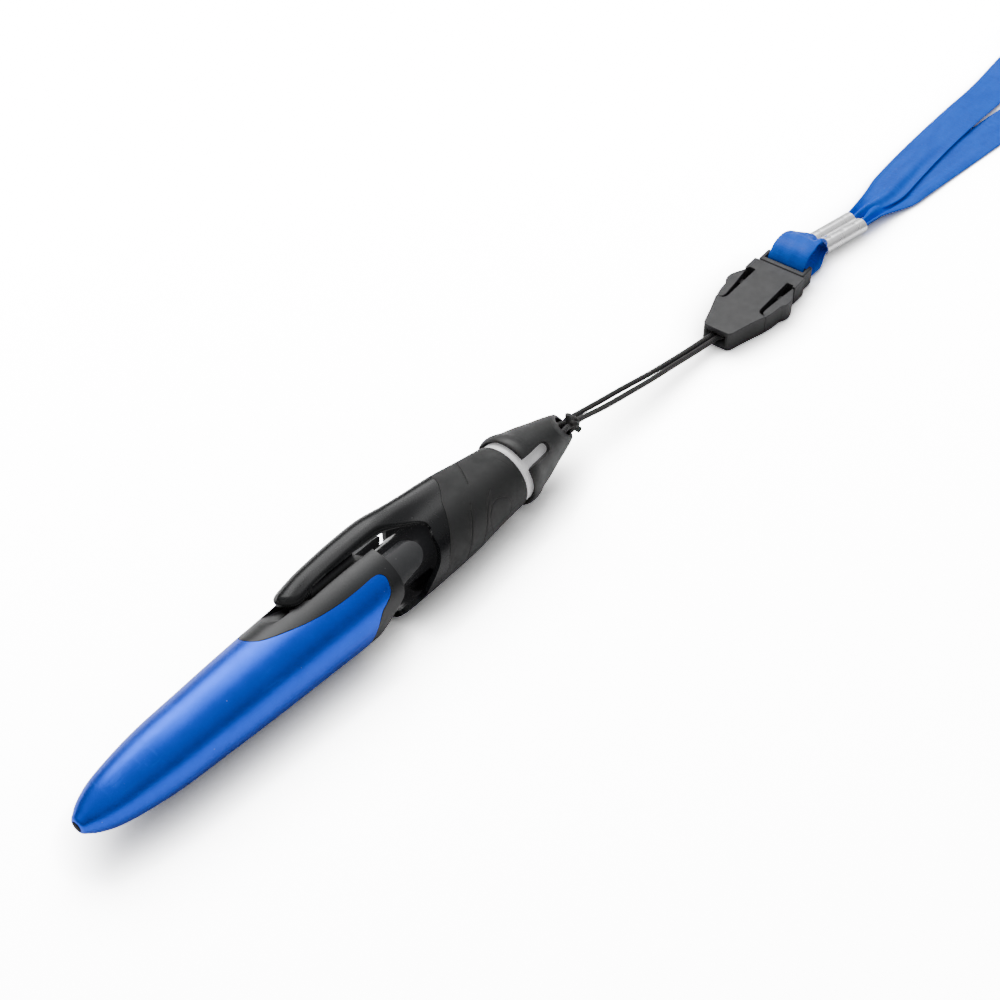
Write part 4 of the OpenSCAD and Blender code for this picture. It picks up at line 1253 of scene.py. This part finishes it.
# [x, y] outlines in buckle coordinates, +y side only
SOCKET_HALF = [
    [0, 3.3], [0.9, 3.95], [6.4, 5.5], [10.9, 7.0], [11.0, 6.45], [11.15, 5.6], [11.5, 5.0],
    [12.1, 4.72], [13, 4.62], [25.15, 4.5], [25.15, 6.25], [24.5, 6.25], [24.5, 7.1],
    [29.3, 7.1]]
ARM = [
    [11.05, 7.0], [14, 7.62], [16.5, 7.85], [17.2, 8.1], [17.9, 8.5], [18.7, 8.72],
    [19.6, 8.76], [20.6, 8.62], [21.6, 8.25], [22.6, 7.75], [23.6, 7.2], [24.3, 6.9],
    [24.3, 6.45], [22.5, 6.3], [20, 6.02], [16, 5.62], [13.2, 5.42], [12.3, 5.5], [11.8, 5.8],
    [11.4, 6.3], [11.05, 6.5]]
PRONG = [[29.6, 2.2], [29.6, 3.3], [24.2, 3.3], [24.2, 4.4], [20.2, 4.4], [18.0, 3.4],
         [18.0, 2.5], [24, 2.4]]
# hollows in the socket: x limits, half width, half height about the middle plane
SOCKET_HOLLOWS = [((-1, 5.6), 2.6, 1.3), ((7, 24.4), 3.9, 1.25), ((23, 31), 3.5, 1.25),
                  ((18.7, 24.4), 6, 1.1)]


def buckle_prism(name, outline, z0, z1):
    return prism(name, outline, z0, z1, BUCKLE_MATS, at_buckle)


def buckle_block(name, xs, ys, zs):
    return block(name, xs, ys, zs, BUCKLE_MATS, at_buckle)


def one_side(outline, side):
    return [[x, side * y] for x, y in outline]


def buckle_socket():
    outline = SOCKET_HALF + one_side(SOCKET_HALF[::-1], -1)
    o = buckle_prism("buckle_socket_looks", fillet(outline, 0.28, 4), 0, BUCKLE_H)
    bevel(o, 0.42, 3, angle=50)
    apply_mods(o)
    for xs, half_width, half_height in SOCKET_HOLLOWS:
        cut(o, buckle_block("hollow", xs, around(0, half_width),
                            around(BUCKLE_MID, half_height)))
    circle = [[POST_X + POST_R * math.cos(t), POST_R * math.sin(t)]
              for t in np.linspace(0, 2 * math.pi, 40, endpoint=False)]
    post = buckle_prism("cord_post", circle, *around(BUCKLE_MID, 1.4))
    o = join("buckle_socket_looks", [o, post])
    even_shading(o)
    finish_piece(o, "socket", "buckle_socket")


def squeeze_arm(side, name):
    o = buckle_prism("squeeze_arm_%s_looks" % name, fillet(one_side(ARM, side), 0.2, 3),
                     0.0, BUCKLE_H - 0.3)
    bevel(o, 0.38, 3, angle=50)
    apply_mods(o)
    nub = buckle_block("nub", (20.2, 22.0), sorted((side * 4.6, side * 6.6)),
                       around(BUCKLE_MID, 0.85))
    bevel(nub, 0.15, 2, angle=50)
    o = join("squeeze_arm_%s_looks" % name, [o, nub])
    even_shading(o)
    finish_piece(o, "arm_" + name, "squeeze_arm_" + name)


def buckle_plug():
    back_x, front_x, half = 29.7, 34.4, 6.35
    outline = [[back_x, half], [front_x, half], [front_x, -half], [back_x, -half]]
    body = buckle_prism("plug_frame", fillet(outline, 0.6, 5), 0.1, BUCKLE_H - 0.1)
    bevel(body, 0.4, 3, angle=50)
    apply_mods(body)
    # a slot right through, then the front bar thinned from below and above
    for xs, zs in (((31.0, 32.9), (-1, BUCKLE_H + 2)),
                   ((32.8, 34.9), (-1, BUCKLE_MID - 1.1)),
                   ((32.8, 34.9), (BUCKLE_MID + 1.1, BUCKLE_H + 2))):
        cut(body, buckle_block("slot", xs, around(0, 5.45), zs))
    bevel(body, 0.14, 2, angle=60)
    stem = buckle_block("stem", (12, 30), around(0, 1.2), around(BUCKLE_MID, 1))
    bevel(stem, 0.2, 2, angle=60)
    o = join("buckle_plug_looks", [body, stem])
    even_shading(o)
    finish_piece(o, "plug", "buckle_plug")


def prong(side, name, body):
    o = buckle_prism("prong_%s_looks" % name, fillet(one_side(PRONG, side), 0.25, 3),
                     *around(BUCKLE_MID, 1))
    bevel(o, 0.18, 2, angle=50)
    finish_piece(o, body, "prong_" + name)


def buckle():
    buckle_socket()
    squeeze_arm(1, "left")
    squeeze_arm(-1, "right")
    buckle_plug()
    prong(1, "left", "prong_l")
    prong(-1, "right", "prong_r")


# ---------------------------------------------------------------- strap
LOBE = 1.75            # distance of each sleeve lobe from the sleeve's middle
SLEEVE_X = 119.7       # rear end of the sleeve in the row
SLEEVE_Z = 2.15
SLEEVE_LENGTH, LOOP_LENGTH = 15.0, 150.0
RIBBON_WIDTH, RIBBON_THICK = 10.0, 0.45


def at_strap(P):
    """Strap coordinates, x from the sleeve's buckle end, to the row frame."""
    return place_turned(P, (SLEEVE_X, -3.5), math.radians(-5.3))


def sleeve_shift(P):
    """How far the sleeve sits up and back from the centre line, less at its far end."""
    t = np.clip((P[..., 0] - SLEEVE_X) / SLEEVE_LENGTH, 0, 1)[..., None]
    return np.array([0.5, 1.3, 0.75]) * (1 - t) + np.array([0.2, 0.6, 0.3]) * t


def shift_ribbon(P):
    """The ribbon follows the sleeve's shift near its mouths."""
    w = ease((P[..., 0] - 110.5) / 8) * (1 - ease((P[..., 0] - 133) / 22))
    return P + w[..., None] * sleeve_shift(P)


def ribbon_band(name, P, across, out, half, fold):
    """Ribbon along P: unit vectors across and out, half width, and out-of-plane fold[m, n]."""
    m, n = fold.shape
    v = np.linspace(-1, 1, n)
    mid = (P[:, None] + across[:, None] * (half[:, None] * v)[..., None]
           + out[:, None] * fold[..., None])
    # true normals of the folded middle surface, on the side of `out`
    normal = np.cross(np.gradient(mid, axis=0), np.gradient(mid, axis=1))
    normal /= np.linalg.norm(normal, axis=-1)[..., None] + 1e-12
    outward = np.mean(np.sign(np.sum(normal * out[:, None], -1))) >= 0
    if not outward:
        normal = -normal
    thin = RIBBON_THICK / 2 * np.sqrt(np.clip(1 - np.abs(v) ** 9, 0.02, 1))
    offset = normal * thin[None, :, None]
    path = np.stack([*np.broadcast_arrays(distances(P)[:, None], v * RIBBON_WIDTH / 2),
                     np.zeros((m, n))], -1).reshape(-1, 3)
    top = grid_faces(index_grid(fold))
    if not outward:
        top = top[:, ::-1]
    k = m * n
    faces = top.tolist() + (top[:, ::-1] + k).tolist()
    faces += [[b, a, k + a, k + b] for a, b in border_edges(top.tolist())]
    verts = np.vstack([(mid + offset).reshape(-1, 3), (mid - offset).reshape(-1, 3)])
    return new_object(name, verts, faces, [MATS["ribbon"]], path=np.vstack([path, path]),
                      sharp=70)


# [x, y, z] in buckle coordinates: out of the sleeve, over and round the plug's bar, and back
FRONT_LOOP = [
    [48.2, -2.5, 2.35], [46.4, -2.5, 2.35], [44.9, -2.5, 2.6], [43.5, -2.2, 4.1],
    [41.5, -1.2, 6.1], [39.0, -0.3, 7.4], [36.4, 0, 7.9], [34.2, 0, 7.3], [32.6, 0, 5.6],
    [31.85, 0, 3.6], [32.0, 0, 1.9], [33.0, 0, 0.85], [34.6, 0, 0.62], [37.5, -0.7, 0.62],
    [40.5, -1.8, 0.9], [43, -2.4, 1.5], [44.9, -2.5, 1.9], [46.4, -2.5, 1.95],
    [48.2, -2.5, 1.95]]
# folds of the top leg near the sleeve: height, place across (-1 to 1), spread
FRONT_FOLDS = [(-1.15, -0.42, 0.20), (0.5, -0.88, 0.22), (0.45, 0.25, 0.35)]


def front_ribbon():
    """Loop round the buckle's bar."""
    m, n = 300, 81
    P = spline(at_buckle(FRONT_LOOP), m)
    along = unit(np.gradient(P, axis=0))
    sideways = at_buckle([0, 1, 0]) - at_buckle([0, 0, 0])
    across = unit(sideways - along * (along @ sideways)[:, None])
    out = np.cross(across, along)
    u = np.linspace(0, 1, m)[:, None]
    v = np.linspace(-1, 1, n)[None]
    from_end = np.minimum(u, 1 - u)
    top_leg = (u < 0.5).astype(float)
    spread = ease((from_end - 0.085) / lerp(0.12, 0.17, top_leg))
    # the sleeve pinches each leg into two rolls with a valley between them
    rolls = np.sqrt(np.clip(1 - (2 * np.abs(v) - 1) ** 2, 0, 1))
    fold = (1 - spread) * (1.28 * rolls - 0.15)
    near = ease((from_end - 0.07) / 0.05) * (1 - ease((from_end - 0.16) / 0.11)) * top_leg
    for height, centre, width in FRONT_FOLDS:
        fold = fold + near * height * np.exp(-((v - centre) / width) ** 2)
    # a crown across the top leg and a slight ripple
    fold = fold + ease((from_end - 0.1) / 0.2) * top_leg * 0.35 * (1 - v**2)
    fold = fold + 0.04 * np.sin(9 * v + 20 * u) * spread
    half = lerp(3.05, RIBBON_WIDTH / 2, spread[:, 0])
    return ribbon_band("ribbon_front", shift_ribbon(P), across, out, half, fold)


def far_loop(u):
    """Reach (0 at the sleeve, 1 at the far end), roll in degrees and centre line."""
    s = (1 - np.cos(2 * math.pi * u)) / 2
    side = (7.8 * np.sin(2 * math.pi * u) * np.sqrt(s) * (1 + 1.6 * ease((s - 0.45) / 0.45))
            + LOBE * np.cos(math.pi * u) * (1 - ease(s / 0.12)))
    # the legs lie flat near the sleeve and the ribbon stands on edge at the far bend
    quarter = 90 * ease((s - 0.5) / 0.42)
    roll = np.where(u < 0.5, quarter, 180 - quarter)
    lift = np.where(u > 0.5, 0.95 * (1 - ease((s - 0.4) / 0.4)), 0)
    low = 0.4 + lift + RIBBON_WIDTH / 2 * np.sin(rad(roll))
    P = at_strap(np.stack([SLEEVE_LENGTH + LOOP_LENGTH * s,
                           -side + 10 * (1 - np.exp(-2.5 * s)),
                           SLEEVE_Z + (low - SLEEVE_Z) * ease(s / 0.13)], -1))
    return s, roll, P


def far_ribbon():
    m, n = 560, 61
    u = np.linspace(0, 1, m)
    s, roll, P = far_loop(u)
    before, after = (far_loop(np.clip(u + du, 0, 1))[2] for du in (-0.002, 0.002))
    along = unit(after - before)
    level = np.stack([along[:, 1], -along[:, 0], 0 * along[:, 0]], -1)
    roll = rad(roll)[:, None]
    out = -np.cos(roll) * UP + np.sin(roll) * level
    across = unit(np.cross(out, along))
    out = np.cross(along, across)
    half = lerp(1.35, RIBBON_WIDTH / 2, ease((s + 0.004) / 0.15))
    u, s = u[:, None], s[:, None]
    v = np.linspace(-1, 1, n)[None]
    # crumpled in the sleeve, waves that fade along the legs, and a slow rocking
    pinch = 1 - ease((s + 0.004) / 0.15)
    fold = pinch * 0.75 * np.sin(v * math.pi * 1.5 + np.where(u < 0.5, 0.4, -0.5))
    waves = ease(s / 0.05) * (1 - ease((s - 0.10) / 0.30))
    fold = fold + waves * (0.34 * np.sin(v * 4.2 + 0.8 + 3 * s) + 0.12 * np.sin(v * 9 - 5 * s))
    fold = fold + 0.10 * np.sin(s * 21 + u * 9) * v * ease(s / 0.1)
    # the ends run on into the sleeve in 1 mm steps
    into = at_strap([0, 0, 0]) - at_strap([1, 0, 0])
    steps = np.array([3.0, 2.0, 1.0])[:, None]
    P = np.vstack([P[:1] + into * steps, P, P[-1:] + into * steps[::-1]])
    across, out, fold = (np.pad(rows, ((3, 3), (0, 0)), mode="edge")
                         for rows in (across, out, fold))
    half = np.pad(half, 3, mode="edge")
    return ribbon_band("ribbon_far", shift_ribbon(P), across, out, half, fold)


def sleeve_section(n):
    """Closed [across, up] outline of the sleeve: two lobes with a pressed waist between."""
    waist = [0.22, 1.32]
    lobe = [[LOBE + 2.05 * math.cos(rad(q)), 2.02 * math.sin(rad(q))]
            for q in np.linspace(-128, 128, 25)]
    right = [[waist[0], -waist[1]], *lobe, waist]
    full = right + [[-x, y] for x, y in right[::-1]]
    return resample(np.vstack([spline(full, 600), full[0]]), n + 1)[:-1]


def crimp_sleeve():
    n = 144
    section = sleeve_section(n)
    x = np.r_[0, 0.05, 0.15, 0.3, np.linspace(0.5, SLEEVE_LENGTH - 0.5, 90),
              SLEEVE_LENGTH - 0.3, SLEEVE_LENGTH - 0.15, SLEEVE_LENGTH - 0.05,
              SLEEVE_LENGTH][:, None]
    tangent = np.roll(section, -1, 0) - np.roll(section, 1, 0)
    normal = unit(np.stack([tangent[:, 1], -tangent[:, 0]], -1))
    # scattered small dents, then a shallow ring near each end
    dent = np.zeros((len(x), n))
    for i in range(26):
        centre_x, centre_j = hash01(i, 1) * SLEEVE_LENGTH, hash01(i, 2) * n
        length, width = 0.6 + 1.4 * hash01(i, 3), 3 + 7 * hash01(i, 4)
        dj = np.abs(np.arange(n) - centre_j)
        dj = np.minimum(dj, n - dj)
        dent -= 0.035 * hash01(i, 5) * np.exp(-((x - centre_x) / length) ** 2
                                              - (dj / width) ** 2)
    for depth, ring_x, width in ((0.05, 3.0, 0.5), (0.04, 12.2, 0.6)):
        dent -= depth * np.exp(-((x - ring_x) / width) ** 2)

    def skin(points):
        across, up, stations = np.broadcast_arrays(points[..., 0], points[..., 1], x)
        P = at_strap(np.stack([stations, across, up + SLEEVE_Z], -1))
        return P + sleeve_shift(P)
    o = skin_solid("crimp_sleeve_looks", skin(section + normal * dent[..., None]),
                   skin(section - normal * 0.34), grid_faces(index_grid(dent), wrap=True),
                   [MATS["aluminium"]], width=0.1, segments=2, flip=False, sharp=50)
    finish_piece(o, "strap", "crimp_sleeve")


def strap():
    o = join("strap_ribbon_looks", [front_ribbon(), far_ribbon()])
    finish_piece(o, "strap", "strap_ribbon")
    crimp_sleeve()


# ---------------------------------------------------------------- build
rear_parts()
shell_and_clip()
grip()
nose()
spring()
cap()
cord_strands()
cord_knot()
buckle()
strap()

# pieces kept from the CAD: node, material, colour slot
for node, mat, slot in (
        ("inner_barrel", "gloss", "barrel_black"), ("cam_sleeve", "cam", "mech_white"),
        ("plunger", "plunger", "mech_white"), ("refill_tube", "tube", "refill_plastic"),
        ("refill_tip", "brass", "tip_brass"), ("writing_ball", "ball", "ball_steel"),
        ("cam_rotor", "cam", "mech_white")):
    kept_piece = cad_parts[node]
    kept_piece.data.materials.clear()
    kept_piece.data.materials.append(MATS[mat])


# ---------------------------------------------------------------- floor, light, camera
def floor_material():
    """White board that looks nearly pure white to the camera, with a painted contact shadow that
    darkens it near contacts.
    """
    m = Mat("floor_pale", shader="ShaderNodeBsdfDiffuse")
    rays = m.node("ShaderNodeLightPath").outputs
    tone = m.mix(m.remap(m.noise(3), 0.3, 0.7), rgba((0.93,) * 3), rgba((0.95,) * 3))
    camera_gain = m.math("MULTIPLY", rays["Is Camera Ray"], 11.0)
    glossy_gain = m.math("MULTIPLY", rays["Is Glossy Ray"], 0.5)
    gain = m.math("ADD", m.math("ADD", camera_gain, glossy_gain), 1.0)
    # ambient occlusion, sharpened by a power, paints a contact shadow into the floor's colour
    occlusion = m.node("ShaderNodeAmbientOcclusion", Distance=0.010)
    occlusion.samples = 16
    painted_contact_shadow = m.math("POWER", occlusion.outputs["AO"], 2.6)
    painted_contact_shadow = m.math("ADD", m.math("MULTIPLY", painted_contact_shadow, 0.86), 0.14)
    scale = m.node("ShaderNodeVectorMath")
    scale.operation = "SCALE"
    m.put(scale.inputs[0], tone)
    m.put(scale.inputs["Scale"], m.math("MULTIPLY", gain, painted_contact_shadow))
    m.surface(Color=scale.outputs[0])
    return m.material


def make_floor():
    z = -0.0001  # metres, just under the pieces
    me = bpy.data.meshes.new("floor")
    me.from_pydata([(-4, -4, z), (5, -4, z), (5, 5, z), (-4, 5, z)], [], [(0, 1, 2, 3)])
    floor = bpy.data.objects.new("floor", me)
    bpy.context.scene.collection.objects.link(floor)
    me.materials.append(floor_material())


def make_world():
    """White sky, dim at the horizon and bright overhead."""
    sky = bpy.data.worlds.new("world")
    bpy.context.scene.world = sky
    sky.use_nodes = True
    tree = sky.node_tree
    background = tree.nodes["Background"]
    background.inputs[0].default_value = (1, 1, 1, 1)
    coord = tree.nodes.new("ShaderNodeTexCoord")
    split = tree.nodes.new("ShaderNodeSeparateXYZ")
    ramp = tree.nodes.new("ShaderNodeMapRange")
    ramp.interpolation_type = "SMOOTHSTEP"
    for key, value in (("From Min", 0.22), ("From Max", 0.70), ("To Min", 0.03),
                       ("To Max", 0.64)):
        ramp.inputs[key].default_value = value
    tree.links.new(coord.outputs["Generated"], split.inputs[0])
    tree.links.new(split.outputs[2], ramp.inputs["Value"])
    tree.links.new(ramp.outputs[0], background.inputs[1])


def soft_light(name, direction, distance, size_x, size_y, watts):
    """Rectangular light, in metres, that faces the pen from a direction."""
    light = bpy.data.lights.new(name, "AREA")
    light.shape = "RECTANGLE"
    light.size, light.size_y = size_x, size_y
    light.energy = watts
    o = bpy.data.objects.new(name, light)
    bpy.context.scene.collection.objects.link(o)
    centre = Vector((np.array([-30.0, 0, 5]) + ORIGIN) * MM)
    towards = Vector(direction).normalized()
    o.location = centre + towards * distance
    o.rotation_euler = (-towards).to_track_quat("-Z", "Y").to_euler()


def make_camera():
    position = np.array([-238.518, -199.946, 307.450])  # row frame
    down, heading = math.radians(44.428), math.radians(40.016)
    data = bpy.data.cameras.new("camera")
    data.lens, data.sensor_width = 72, 36
    data.clip_start, data.clip_end = 0.01, 20
    camera = bpy.data.objects.new("camera", data)
    bpy.context.scene.collection.objects.link(camera)
    camera.location = Vector((position + ORIGIN) * MM)
    forward = Vector((math.cos(down) * math.cos(heading), math.cos(down) * math.sin(heading),
                      -math.sin(down)))
    right = Vector((math.sin(heading), -math.cos(heading), 0))
    up = right.cross(forward)
    camera.rotation_euler = Matrix((right, up, -forward)).transposed().to_euler()
    bpy.context.scene.camera = camera


make_floor()
make_world()
soft_light("key_back", (0.35, 0.62, 0.72), distance=0.95, size_x=0.75, size_y=0.55, watts=7.6)
soft_light("top_strip", (0.55, 0.22, 0.80), distance=1.0, size_x=0.42, size_y=0.8, watts=3.2)
soft_light("fill_left", (-0.75, 0.35, 0.6), distance=1.1, size_x=0.7, size_y=0.7, watts=0.5)
make_camera()
